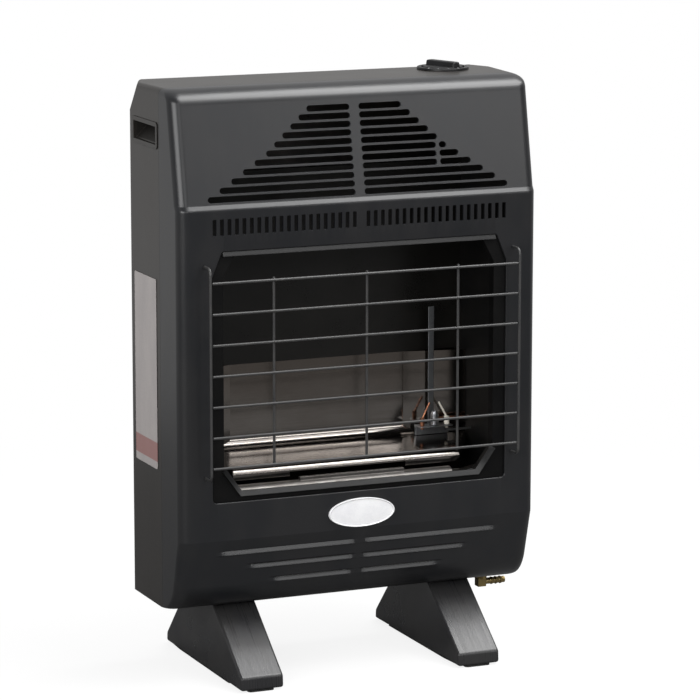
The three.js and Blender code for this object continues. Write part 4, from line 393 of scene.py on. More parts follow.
class Coat(Enum):
    """Every finish of the heater."""

    # One charcoal enamel in two copies: this front copy is painted darker and cooler than the casing's, as
    # painted shade.
    FRONT_ENAMEL_SHADED = BakedPaint(
        "charcoal_paint_shaded", (0.0075, 0.008, 0.0095), (0.0105, 0.0105, 0.0115), roughness=0.33, spread=0.07,
        mottle=(22.0, 22.0, 9.0), grain=(650.0, 650.0, 650.0), relief=0.000012, wave=0.00015,
    )
    # The casing's copy of the same charcoal enamel is painted lighter and warmer, as painted light on the
    # sides and top.
    CASING_ENAMEL_LIT = BakedPaint(
        "casing_paint_lit", (0.0125, 0.0115, 0.0105), (0.0155, 0.014, 0.013), roughness=0.34, spread=0.07,
        mottle=(22.0, 22.0, 9.0), grain=(650.0, 650.0, 650.0), relief=0.000012, wave=0.0002,
        tint=(1.0, 0.93, 0.87),
    )
    MATT_BLACK = Finish(
        "matt_black_paint", (0.004, 0.004, 0.004), (0.007, 0.0065, 0.006), roughness=0.5, relief=0.00005,
        specular=0.25,
    )
    SURROUND = Finish(
        "surround_black", (0.0028, 0.0028, 0.003), (0.0045, 0.0043, 0.0042), roughness=0.5, relief=0.00004,
        specular=0.12,
    )
    LIP = Finish(
        "lip_enamel", (0.006, 0.006, 0.0065), (0.009, 0.0088, 0.0088), roughness=0.32, spread=0.06,
        relief=0.00001, specular=0.3,
    )
    SCORCHED = HeatedSheet(
        "scorched_steel", (0.0045, 0.0042, 0.0036), (0.0075, 0.0066, 0.0056), roughness=0.3, specular=0.4,
        brown=(0.004, 0.0036, 0.0032), brown_span=(0.3, 0.5), relief=0.00001,
    )
    POLISHED = HeatedSheet(
        "polished_sheet", (0.26, 0.241, 0.225), (0.215, 0.196, 0.18), metallic=1.0, roughness=0.13,
        spread=0.06, mottle=(14.0, 14.0, 14.0), grain=(18.0, 900.0, 900.0), relief=0.000003, wave=0.0002,
    )
    BARE_STEEL = Finish(
        "burner_steel", (0.22, 0.21, 0.2), (0.15, 0.14, 0.13), metallic=1.0, roughness=0.4, spread=0.12,
        mottle=(40.0, 90.0, 90.0), relief=0.00002,
    )
    ZINC = Finish(
        "zinc_plate", (0.4, 0.41, 0.42), (0.3, 0.31, 0.33), metallic=1.0, roughness=0.38, spread=0.14,
        mottle=(90.0, 90.0, 90.0),
    )
    WIRE = Finish(
        "guard_wire", (0.026, 0.026, 0.027), (0.038, 0.037, 0.036), roughness=0.42, spread=0.12,
        mottle=(60.0, 60.0, 60.0), relief=0.00003,
    )
    BRASS = Finish(
        "turned_brass", (0.36, 0.27, 0.11), (0.25, 0.19, 0.09), metallic=1.0, roughness=0.34, spread=0.12,
        mottle=(120.0, 120.0, 120.0), grain=(900.0, 300.0, 300.0),
    )
    COPPER = Finish(
        "drawn_copper", (0.45, 0.2, 0.11), (0.3, 0.13, 0.08), metallic=1.0, roughness=0.32, spread=0.12,
        mottle=(60.0, 60.0, 25.0),
    )
    KNOB = Finish(
        "knob_plastic", (0.004, 0.004, 0.0045), (0.007, 0.007, 0.0075), roughness=0.42, spread=0.08,
        grain=(1500.0, 1500.0, 1500.0), relief=0.00004, specular=0.3,
    )
    # The hand slots' mouths wear the casing's lighter, painted-light colour, and their pockets a near-black
    # painted shade.
    GRIP = PocketPlastic(
        "grip_plastic", (0.0125, 0.0115, 0.0105), (0.0155, 0.014, 0.013), roughness=0.38, spread=0.08,
        grain=(1500.0, 1500.0, 1500.0), relief=0.00002, tint=(1.0, 0.93, 0.87),
    )
    FOOT = StreakedMoulding(
        "foot_plastic", (0.016, 0.016, 0.0175), (0.024, 0.0235, 0.0235), roughness=0.3, spread=0.08,
        grain=(1100.0, 1100.0, 1100.0), relief=0.00003,
    )
    RUBBER = Finish(
        "moulded_rubber", (0.012, 0.012, 0.012), (0.02, 0.02, 0.019), roughness=0.8, relief=0.00008,
        grain=(900.0, 900.0, 900.0),
    )
    BADGE = Finish(
        "badge_white", (0.82, 0.82, 0.83), (0.74, 0.74, 0.76), roughness=0.18, spread=0.05, coat=0.4,
        mottle=(60.0, 60.0, 60.0), relief=0.000006,
    )
    LABEL = BandedPlate(
        "bare_plate", (0.39, 0.36, 0.35), (0.34, 0.315, 0.31), roughness=0.45, spread=0.08,
        mottle=(35.0, 35.0, 12.0), grain=(300.0, 300.0, 900.0), relief=0.00001,
    )
    CERAMIC = Finish("fired_ceramic", (0.72, 0.68, 0.6), (0.6, 0.56, 0.48), roughness=0.45, relief=0.00003)
    MARK = Finish("dial_mark", (0.55, 0.55, 0.55), (0.45, 0.45, 0.45), roughness=0.5)


class Paintbox:
    """Makes each finish once and dresses pieces in it."""

    def __init__(self) -> None:
        """Starts with no finish made."""
        self.made: dict[Coat, bpy.types.Material] = {}

    def material(self, coat: Coat) -> bpy.types.Material:
        """The material of a finish, made at its first use."""
        if coat not in self.made:
            self.made[coat] = coat.value.build()
        return self.made[coat]

    def dress(self, piece: Piece, coat: Coat) -> Piece:
        """Gives a piece one finish all over.

        Args:
            piece: mesh object.
            coat: its finish.

        Returns:
            The same piece.
        """
        piece.data.materials.clear()
        piece.data.materials.append(self.material(coat))
        for face in piece.data.polygons:
            face.material_index = 0
        return piece

    def nodes(self, coat: Coat, *names: str) -> None:
        """Dresses parts of the frame that keep their shape."""
        for name in names:
            self.dress(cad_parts[name], coat)
            LOG.info("dressed %s", name)


PAINT = Paintbox()


# ---------------------------------------------------------------- mesh work


class Operation(Enum):
    """How one solid meets another."""

    ADD = "UNION"
    CUT = "DIFFERENCE"
    KEEP = "INTERSECT"


class Crease(Enum):
    """Angle in degrees above which an edge stays sharp."""

    PRESSED = 22.0
    BENT = 30.0
    CUT = 35.0
    MOULDED = 40.0
    ROUND = 50.0


class Mesher:
    """Builds closed meshes from points in millimetres."""

    MERGE = 1e-6
    FLAT_ANGLE = 0.6
    DOME_SIZE = 0.6
    DOME_RISE = 0.3
    EVENNESS = 80

    @staticmethod
    def link(name: str, mesh: bpy.types.Mesh) -> Piece:
        """Puts a mesh in the scene."""
        piece = bpy.data.objects.new(name, mesh)
        bpy.context.scene.collection.objects.link(piece)
        return piece

    @staticmethod
    def shell(name: str, points: Sequence[Point], faces: Sequence[Sequence[int]]) -> Piece:
        """Closed mesh from points and faces.

        Args:
            name: name of the piece.
            points: corners in millimetres.
            faces: corner numbers of each face.

        Returns:
            The piece, its faces turned outwards.
        """
        mesh = bpy.data.meshes.new(name)
        mesh.from_pydata([tuple(c * MM for c in p) for p in points], [], faces)
        work = bmesh.new()
        work.from_mesh(mesh)
        bmesh.ops.recalc_face_normals(work, faces=work.faces)
        work.to_mesh(mesh)
        work.free()
        return Mesher.link(name, mesh)

    @staticmethod
    def loft(name: str, rings: Sequence[Ring], looped: bool = False) -> Piece:
        """Skin over rings of equal count.

        Args:
            name: name of the piece.
            rings: rings in order.
            looped: joins the last ring to the first in place of two end faces.

        Returns:
            The piece.
        """
        count = len(rings[0])
        points = [p for ring in rings for p in ring]
        faces: list[tuple[int, ...]] = []
        for r in range(len(rings) if looped else len(rings) - 1):
            here, there = r * count, ((r + 1) % len(rings)) * count
            for k in range(count):
                ahead = (k + 1) % count
                faces.append((here + k, here + ahead, there + ahead, there + k))
        if not looped:
            faces.append(tuple(range(count)))
            faces.append(tuple(range(len(points) - count, len(points))))
        return Mesher.shell(name, points, faces)

    @staticmethod
    def block(name: str, low: Point, high: Point) -> Piece:
        """Box between two corners, used as a cutting tool."""
        (x0, y0, z0), (x1, y1, z1) = low, high
        flat = [(x0, y0), (x1, y0), (x1, y1), (x0, y1)]
        return Mesher.loft(name, [[(x, y, z) for x, y in flat] for z in (z0, z1)])

    @staticmethod
    def turned(
        name: str, profile: Sequence[Flat], centre: Point, axis: Point = (0, 0, 1), sides: int = 48
    ) -> Piece:
        """Turned piece.

        Args:
            name: name of the piece.
            profile: radius and height of each step; it starts and ends at small radii.
            centre: foot of the axis.
            axis: direction of the axis.
            sides: how many facets go round.

        Returns:
            The piece.
        """
        turn = Vector((0, 0, 1)).rotation_difference(Vector(axis))
        rings = []
        for radius, height in profile:
            spots = [Vector((radius * cosine, radius * sine, height)) for cosine, sine in circle(sides)]
            rings.append([tuple(turn @ spot + Vector(centre)) for spot in spots])
        return Mesher.loft(name, rings)

    @staticmethod
    def rod(name: str, path: Sequence[Point], radius: float, sides: int = 14) -> Piece:
        """Round wire along a path, its section turned as little as possible.

        Args:
            name: name of the piece.
            path: points of the middle line.
            radius: half its thickness.
            sides: how many facets go round.

        Returns:
            The piece, its ends slightly domed.
        """
        line = [Vector(p) for p in path]
        last = len(line) - 1
        heads = [(line[min(i + 1, last)] - line[max(i - 1, 0)]).normalized() for i in range(last + 1)]
        across = heads[0].orthogonal().normalized()
        rings = []

        def ring(middle: Vector, head: Vector, size: float) -> Ring:
            """Circle of points across the path."""
            up = head.cross(across)
            spokes = [across * cosine + up * sine for cosine, sine in circle(sides)]
            return [tuple(middle + spoke * size) for spoke in spokes]

        for i, middle in enumerate(line):
            if i:
                across = heads[i - 1].rotation_difference(heads[i]) @ across
            dome = ring(middle, heads[i], radius * Mesher.DOME_SIZE)
            inward = heads[i] * radius * Mesher.DOME_RISE
            if i == 0:
                rings += [dome, ring(middle + inward, heads[i], radius)]
            elif i == last:
                rings += [ring(middle - inward, heads[i], radius), dome]
            else:
                rings.append(ring(middle, heads[i], radius))
        return Mesher.loft(name, rings)

    @staticmethod
    def gather(name: str, pieces: Sequence[Piece]) -> Piece:
        """Several meshes as one.

        Args:
            name: name of the new piece.
            pieces: what goes into it; they are used up.

        Returns:
            The new piece.
        """
        work = bmesh.new()
        for piece in pieces:
            work.from_mesh(piece.data)
            bpy.data.objects.remove(piece)
        mesh = bpy.data.meshes.new(name)
        work.to_mesh(mesh)
        work.free()
        return Mesher.link(name, mesh)

    @staticmethod
    def settle(piece: Piece) -> Piece:
        """Turns a piece's modifiers into mesh."""
        bpy.context.view_layer.update()
        graph = bpy.context.evaluated_depsgraph_get()
        mesh = bpy.data.meshes.new_from_object(piece.evaluated_get(graph))
        piece.modifiers.clear()
        piece.data = mesh
        return piece

    @staticmethod
    def combine(body: Piece, tool: Piece, operation: Operation) -> Piece:
        """Adds, cuts or keeps.

        Args:
            body: the solid that is worked on.
            tool: the other solid, which is used up.
            operation: what is done.

        Returns:
            The body.
        """
        modifier = body.modifiers.new("work", "BOOLEAN")
        modifier.object = tool
        modifier.operation = operation.value
        modifier.solver = "MANIFOLD"
        Mesher.settle(body)
        bpy.data.objects.remove(tool)
        return body

    @staticmethod
    def soften(piece: Piece, width: float, segments: int = 2, angle: float = 34.0) -> Piece:
        """Rounds the sharp edges.

        Args:
            piece: mesh object.
            width: width of the rounding, in millimetres.
            segments: steps in it.
            angle: the least angle of an edge that is rounded, in degrees.

        Returns:
            The same piece.
        """
        work = bmesh.new()
        work.from_mesh(piece.data)
        bmesh.ops.remove_doubles(work, verts=work.verts, dist=Mesher.MERGE)
        flat = math.radians(Mesher.FLAT_ANGLE)
        bmesh.ops.dissolve_limit(work, angle_limit=flat, verts=work.verts, edges=work.edges)
        work.to_mesh(piece.data)
        work.free()
        modifier = piece.modifiers.new("round", "BEVEL")
        modifier.width = width * MM
        modifier.segments = segments
        modifier.limit_method = "ANGLE"
        modifier.angle_limit = math.radians(angle)
        modifier.use_clamp_overlap = False
        modifier.miter_outer = "MITER_ARC"
        return Mesher.settle(piece)

    @staticmethod
    def smooth(piece: Piece, crease: Crease = Crease.CUT) -> Piece:
        """Shades a piece smooth between its sharp edges.

        Args:
            piece: mesh object.
            crease: which edges stay sharp.

        Returns:
            The same piece.
        """
        mesh = piece.data
        mesh.shade_smooth()
        mesh.set_sharp_from_angle(angle=math.radians(crease.value))
        modifier = piece.modifiers.new("even", "WEIGHTED_NORMAL")
        modifier.keep_sharp = True
        modifier.weight = Mesher.EVENNESS
        return piece

    @staticmethod
    def copy_of(node: str, name: str) -> Piece:
        """New piece with the shape of a part of the frame."""
        return Mesher.link(name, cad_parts[node].data.copy())


def seat(piece: Piece, body: str, coat: Coat, slot: str, *nodes: str) -> Piece:
    """Dresses a new piece, lets it ride and hides the parts of the frame that it stands for.

    Args:
        piece: the new piece.
        body: the body it moves with.
        coat: its finish.
        slot: the record's material slot; not used.
        nodes: parts of the frame that it stands for.

    Returns:
        The same piece.
    """
    PAINT.dress(piece, coat)
    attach(piece, body)
    if nodes:
        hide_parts(*nodes)
    LOG.info("made %s", piece.name)
    return piece


def circle(count: int) -> list[Flat]:
    """Cosine and sine at even steps all round."""
    angles = [2 * math.pi * k / count for k in range(count)]
    return [(math.cos(angle), math.sin(angle)) for angle in angles]


def quarter(steps: int) -> list[Flat]:
    """Cosine and sine at even steps through a quarter turn, both ends included."""
    angles = [math.pi / 2 * i / steps for i in range(steps + 1)]
    return [(math.cos(angle), math.sin(angle)) for angle in angles]


def bow(start: Flat, bend: Flat, end: Flat, steps: int) -> list[Flat]:
    """Curve between two points that leans towards a third.

    Args:
        start: first point.
        bend: the point it leans towards.
        end: last point.
        steps: how many pieces it has.

    Returns:
        Its points, both ends included.
    """
    points = []
    for i in range(steps + 1):
        t = i / steps
        near, middle, far = (1 - t) ** 2, 2 * t * (1 - t), t * t
        points.append(tuple(near * a + middle * b + far * c for a, b, c in zip(start, bend, end)))
    return points


def step_between(value: float, low: float, high: float) -> float:
    """Rises smoothly from 0 at low to 1 at high."""
    share = min(max((value - low) / (high - low), 0.0), 1.0)
    return share * share * (3 - 2 * share)


def between_points(points: Sequence[Flat], place: float) -> float:
    """Height of a broken line at a place, which lies between its first and last point."""
    for (x0, y0), (x1, y1) in zip(points, points[1:]):
        if place <= x1:
            return y0 + (y1 - y0) * (place - x0) / (x1 - x0)
    return points[-1][1]


def pill(x0: float, x1: float, middle: float, height: float, grow: float = 0.0, steps: int = 8) -> list[Flat]:
    """Slot outline with round ends.

    Args:
        x0: one end.
        x1: the other end.
        middle: height of its middle line.
        height: its height.
        grow: even margin added all round.
        steps: pieces in each round end.

    Returns:
        Its points.
    """
    radius = height / 2
    points = []
    for centre, first in ((x1 - radius, -math.pi / 2), (x0 + radius, math.pi / 2)):
        for i in range(steps + 1):
            angle = first + math.pi * i / steps
            reach = radius + grow
            points.append((centre + reach * math.cos(angle), middle + reach * math.sin(angle)))
    return points


def rounded(corners: Sequence[Point], grow: float = 0.0, steps: int = 5) -> list[Flat]:
    """Polygon with rounded corners, anticlockwise.

    Args:
        corners: the two places and the radius of each corner.
        grow: even margin added all round.
        steps: pieces in each round.

    Returns:
        Its points.
    """
    points = []
    count = len(corners)
    for i, (x, y, radius) in enumerate(corners):
        here = Vector((x, y))
        back = (Vector(corners[i - 1][:2]) - here).normalized()
        ahead = (Vector(corners[(i + 1) % count][:2]) - here).normalized()
        half = math.acos(max(-1.0, min(1.0, back.dot(ahead)))) / 2
        centre = here + (back + ahead).normalized() * (radius / math.sin(half))
        reach = radius + grow
        first = Vector((back.y, -back.x))
        first = first if first.dot(here - centre) > 0 else -first
        last = Vector((ahead.y, -ahead.x))
        last = last if last.dot(here - centre) > 0 else -last
        turn = first.angle_signed(last)
        for k in range(steps + 1):
            angle = -turn * k / steps
            cosine, sine = math.cos(angle), math.sin(angle)
            spoke = (first.x * cosine - first.y * sine, first.x * sine + first.y * cosine)
            points.append((centre.x + spoke[0] * reach, centre.y + spoke[1] * reach))
    return points


def box_corners(x0: float, x1: float, y0: float, y1: float, radius: float) -> list[Point]:
    """Corners of a rectangle, anticlockwise, each with the same radius."""
    return [(x0, y0, radius), (x1, y0, radius), (x1, y1, radius), (x0, y1, radius)]


# ---------------------------------------------------------------- cabinet


@dataclass(frozen=True)
class CabinetForm:
    """Outer form of the cabinet, in millimetres."""

    half_width: float = 210.0
    base: float = 80.0
    top: float = 648.0
    front: float = -85.0
    back: float = 65.0
    seam: float = -26.0
    corner: float = 12.0
    shoulder: float = 8.0
    rear_shoulder: float = 3.0
    heel_start: float = 616.0
    heel_width: float = 11.0
    heel_depth: float = 27.0
    heel_least: float = 0.06
    toe: float = -32.0
    toe_bulge: Flat = (-60.0, 82.0)
    apron_low: Flat = (-70.0, 109.0)
    apron_high: float = 163.0
    ledge: float = 520.6
    ledge_foot: tuple[Flat, Flat] = ((-85.0, 522.8), (-84.4, 523.72))
    ledge_brim: tuple[Flat, Flat] = ((-82.11, 527.25), (-81.84, 527.67))
    ledge_crown: Flat = (-81.73, 528.3)
    brow: Flat = (-61.5, 633.0)
    top_flat: float = -34.0
    groove_reach: tuple[float, float, float] = (169.0, 133.5, 104.0)
    groove_height: tuple[float, float, float] = (148.0, 130.0, 111.5)
    groove_width: float = 6.4
    # Share of the groove's width, and how far the sheet is pressed in there.
    groove_section: tuple[Flat, ...] = ((0.0, 0.0), (0.13, -1.4), (0.85, 2.4), (1.0, 0.0))
    groove_start: Flat = (4.0, 8.0)
    groove_end: float = 12.0
    support: float = 1.0
    toe_steps: int = 14
    apron_step: float = 0.6
    apron_rows: int = 69
    foot_steps: int = 5
    brim_steps: int = 4
    brow_steps: int = 14
    corner_steps: int = 9
    least_corner: float = 1.0
    slab: Flat = (300.0, 900.0)

    def profile(self) -> list[Flat]:
        """Front profile from the toe to the top, as depth and height."""
        points = bow((self.toe, self.base), self.toe_bulge, self.apron_low, self.toe_steps)
        heights = [self.apron_low[1] + self.apron_step * i for i in range(1, self.apron_rows + 1)]
        lean = (self.front - self.apron_low[0]) / (self.apron_high - self.apron_low[1])
        points += [(self.apron_low[0] + (z - self.apron_low[1]) * lean, z) for z in heights]
        points += [(self.front, z) for z in (self.apron_high, self.apron_high + self.support)]
        points.append((self.front, self.ledge - self.support))
        points += bow((self.front, self.ledge), *self.ledge_foot, self.foot_steps)
        points += bow(*self.ledge_brim, self.ledge_crown, self.brim_steps)
        y0, z0, slope = self.lean()
        for z in (z0 + self.support, self.brow[1] - self.support):
            points.append((y0 + (z - z0) * slope, z))
        for cosine, sine in quarter(self.brow_steps):
            y = self.top_flat - (self.top_flat - self.brow[0]) * cosine
            points.append((y, self.brow[1] + (self.top - self.brow[1]) * sine))
        for level in (self.heel_start, self.top - self.shoulder, self.top - self.rear_shoulder):
            after = next(i for i, (_, z) in enumerate(points) if z > level)
            (y0, z0), (y1, z1) = points[after - 1], points[after]
            points.insert(after, (y0 + (y1 - y0) * (level - z0) / (z1 - z0), level))
        return points

    def groove(self, x: float, z: float) -> float:
        """How far the apron is pressed in at a place, or out where it is negative.

        Args:
            x: place across.
            z: height.

        Returns:
            The depth.
        """
        depth = 0.0
        for reach, height in zip(self.groove_reach, self.groove_height):
            share = (z - height) / self.groove_width + 0.5
            if 0.0 < share < 1.0:
                ends = step_between(abs(x), *self.groove_start)
                ends *= step_between(-abs(x), -reach, self.groove_end - reach)
                depth += between_points(self.groove_section, share) * ends
        return depth

    def half_width_at(self, z: float, radius: float) -> float:
        """Half width at a height, drawn in along a rounded shoulder."""
        rise = max(z - (self.top - radius), 0.0)
        return self.half_width - radius + math.sqrt(max(radius**2 - rise**2, 0.0))

    def ring(self, front: float, z: float, inset: float, rear: float, columns: int) -> Ring:
        """Outline of the cabinet at one height.

        Args:
            front: depth of the front there.
            z: height.
            inset: wall that is taken off.
            rear: depth of the rear face.
            columns: steps across the front.

        Returns:
            Points all round.
        """
        lower = max((self.apron_low[1] - z) / (self.apron_low[1] - self.base), 0.0)
        upper = max((z - self.ledge) / (self.top - self.ledge), 0.0)
        height = z + inset * (lower - upper)
        w = self.half_width_at(z, self.shoulder) - inset
        rear_w = self.half_width_at(z, self.rear_shoulder) - inset
        cut = max((z - self.heel_start) / (self.top - self.heel_start), 0.0)
        heel = self.heel_least + (1 - self.heel_least) * cut
        across, deep = self.heel_width * heel, self.heel_depth * heel
        slant = math.hypot(across, deep)
        side = self.back - deep + inset * (deep - slant) / across
        rear_x = rear_w + inset - across - (inset * slant + (rear - self.back) * across) / deep
        points = [(rear_w, side), (rear_x, rear), (-rear_x, rear), (-rear_w, side)]
        radius = max(self.corner - inset, self.least_corner)
        f = front + inset
        flat = w - radius
        for cosine, sine in quarter(self.corner_steps):
            points.append((-flat - radius * cosine, f + radius - radius * sine))
        across_front = [self.support - flat] + [flat * (2 * i / columns - 1) for i in range(1, columns)]
        for x in across_front + [flat - self.support]:
            points.append((x, f + (self.groove(x, z) if inset == 0 else 0.0)))
        for cosine, sine in quarter(self.corner_steps):
            points.append((flat + radius * sine, f + radius - radius * cosine))
        return [(x, y, height) for x, y in points]

    def solid(self, inset: float, rear: Optional[float] = None, columns: int = 1) -> Piece:
        """Solid with the cabinet's form.

        Args:
            inset: wall taken off every side but the rear.
            rear: depth of the rear face, where it isn't the cabinet's.
            columns: steps across the front.

        Returns:
            The solid, to be worked on.
        """
        depth = self.back if rear is None else rear
        return Mesher.loft("form", [self.ring(y, z, inset, depth, columns) for y, z in self.profile()])

    def hollow(self, outer: float, inner: float, columns: int = 1) -> Piece:
        """Wall of the cabinet between two insets, open at the rear."""
        body = self.solid(outer, None, columns)
        return Mesher.combine(body, self.solid(inner, self.back + PAST), Operation.CUT)

    def between(self, piece: Piece, low: float, high: float) -> Piece:
        """Keeps what lies between two depths."""
        side, height = self.slab
        slab = Mesher.block("slab", (-side, low, 0.0), (side, high, height))
        return Mesher.combine(piece, slab, Operation.KEEP)

    def lean(self) -> tuple[float, float, float]:
        """Start depth, start height and slope of the louvre panel."""
        y0, z0 = self.ledge_crown
        return y0, z0, (self.brow[0] - y0) / (self.brow[1] - z0)


# Cutting tools with a rolled edge: depth behind the face, and how much wider the tool is there.
MOUTH = ((8.0, 0.0), (0.9, 0.0), (0.45, 0.12), (0.18, 0.32), (0.0, 0.62), (-0.5, 1.15))
WINDOW_EDGE = ((6.0, 0.0), (1.0, 0.0), (0.6, 0.08), (0.3, 0.28), (0.1, 0.55), (0.0, 0.9), (-0.6, 1.5))
SEAM_HALF = 0.15  # half the gap between the moulding and the casing


@dataclass(frozen=True)
class FrontMoulding:
    """Front of the cabinet with its window, louvres, outlet slots and pressed apron."""

    form: CabinetForm = field(default_factory=CabinetForm)
    wall: float = 2.5
    rows: int = 11
    pitch: float = 9.01
    first_row: float = 533.2
    louvre: float = 6.2
    flare: float = 0.55
    top_reach: float = 55.0
    upper_step: float = 10.0
    lower_step: float = 14.0
    upper_rows: int = 5
    spine: float = 5.5
    rib: float = 95.0
    rib_half: float = 2.0
    rib_rows: tuple[int, int] = (3, 5)
    slots: int = 20
    slot_pitch: float = 8.5
    slot_start: float = 8.0
    slot_half: float = 2.0
    slot_flare: float = 0.4
    slot_low: float = 495.5
    slot_high: float = 512.5
    slot_corner: float = 0.7
    window: tuple[float, float, float] = (173.0, 205.0, 478.0)
    window_corners: tuple[float, float, float] = (5.0, 4.0, 3.0)
    chamfer: Flat = (12.0, 29.0)
    rod_x: float = 181.0
    rod_z: Flat = (233.8, 463.0)
    rod_hole: Flat = (1.8, 6.0)
    columns: int = 120
    tongue_inset: float = 1.5
    tongue_y: Flat = (-1.0, 2.5)
    front_margin: float = 5.0

    def reach(self, row: int) -> float:
        """Half length of one louvre."""
        down = self.rows - 1 - row
        upper = min(down, self.upper_rows)
        return self.top_reach + upper * self.upper_step + (down - upper) * self.lower_step

    def louvres(self) -> Piece:
        """Tool that cuts the stepped field of louvres, square to the leaning panel."""
        y0, z0, slope = self.form.lean()
        turn = math.atan(slope)
        tools = []
        for row in range(self.rows):
            z = self.first_row + row * self.pitch
            reach = self.reach(row)
            spans = [(-reach, -self.spine), (self.spine, reach)]
            if self.rib_rows[0] <= row <= self.rib_rows[1]:
                rib = (self.rib - self.rib_half, self.rib + self.rib_half)
                spans[1:] = [(self.spine, rib[0]), (rib[1], reach)]
            for x0, x1 in spans:
                rings = []
                for depth, grow in MOUTH:
                    ring = []
                    for x, t in pill(x0, x1, 0.0, self.louvre, grow * self.flare):
                        y = y0 + (z - z0) * slope + t * math.sin(turn) + depth * math.cos(turn)
                        ring.append((x, y, z + t * math.cos(turn) - depth * math.sin(turn)))
                    rings.append(ring)
                tools.append(Mesher.loft("louvre", rings))
        return Mesher.gather("louvres", tools)

    def outlets(self) -> Piece:
        """Tool that cuts the short upright slots over the window."""
        tools = []
        half, front = self.slot_half, self.form.front
        for i in range(self.slots):
            for side in (-1, 1):
                x = side * (self.slot_start + i * self.slot_pitch)
                corners = box_corners(x - half, x + half, self.slot_low, self.slot_high, self.slot_corner)
                rings = []
                for depth, grow in MOUTH:
                    flat = rounded(corners, grow * self.slot_flare, steps=3)
                    rings.append([(px, front + depth, pz) for px, pz in flat])
                tools.append(Mesher.loft("outlet", rings))
        return Mesher.gather("outlets", tools)

    def window_tool(self) -> Piece:
        """Tool that cuts the window with a rolled edge."""
        w, low, high = self.window
        cx, cz = self.chamfer
        foot, side, head = self.window_corners
        corners = [
            (-w, low, foot), (w, low, foot), (w, high - cz, side), (w - cx, high, head),
            (cx - w, high, head), (-w, high - cz, side),
        ]
        rings = [[(x, self.form.front + d, z) for x, z in rounded(corners, g)] for d, g in WINDOW_EDGE]
        return Mesher.loft("window", rings)

    def rod_holes(self) -> Piece:
        """Tool for the four holes of the guard rods."""
        holes = []
        radius, depth = self.rod_hole
        wall = [(radius, 0.0), (radius, depth)]
        for x in (-self.rod_x, self.rod_x):
            for z in self.rod_z:
                foot = (x, self.form.front - PAST, z)
                holes.append(Mesher.turned("hole", wall, foot, axis=(0, 1, 0), sides=20))
        return Mesher.gather("holes", holes)

    def build(self) -> None:
        """Makes the moulding."""
        form = self.form
        shell = form.hollow(0.0, self.wall, self.columns)
        skin = form.between(shell, form.front - self.front_margin, form.seam - SEAM_HALF)
        for tool in (self.window_tool(), self.louvres(), self.outlets(), self.rod_holes()):
            Mesher.combine(skin, tool, Operation.CUT)
        low, high = self.tongue_y
        tongue = form.between(form.hollow(self.tongue_inset, self.wall), form.seam + low, form.seam + high)
        Mesher.combine(skin, tongue, Operation.ADD)
        skin.name = "front_moulding"
        Mesher.smooth(skin, Crease.PRESSED)
        # The front wears the darker copy of the charcoal enamel, which is painted shade.
        seat(skin, CABINET_BODY, Coat.FRONT_ENAMEL_SHADED, "charcoal_enamel", "front_fascia")


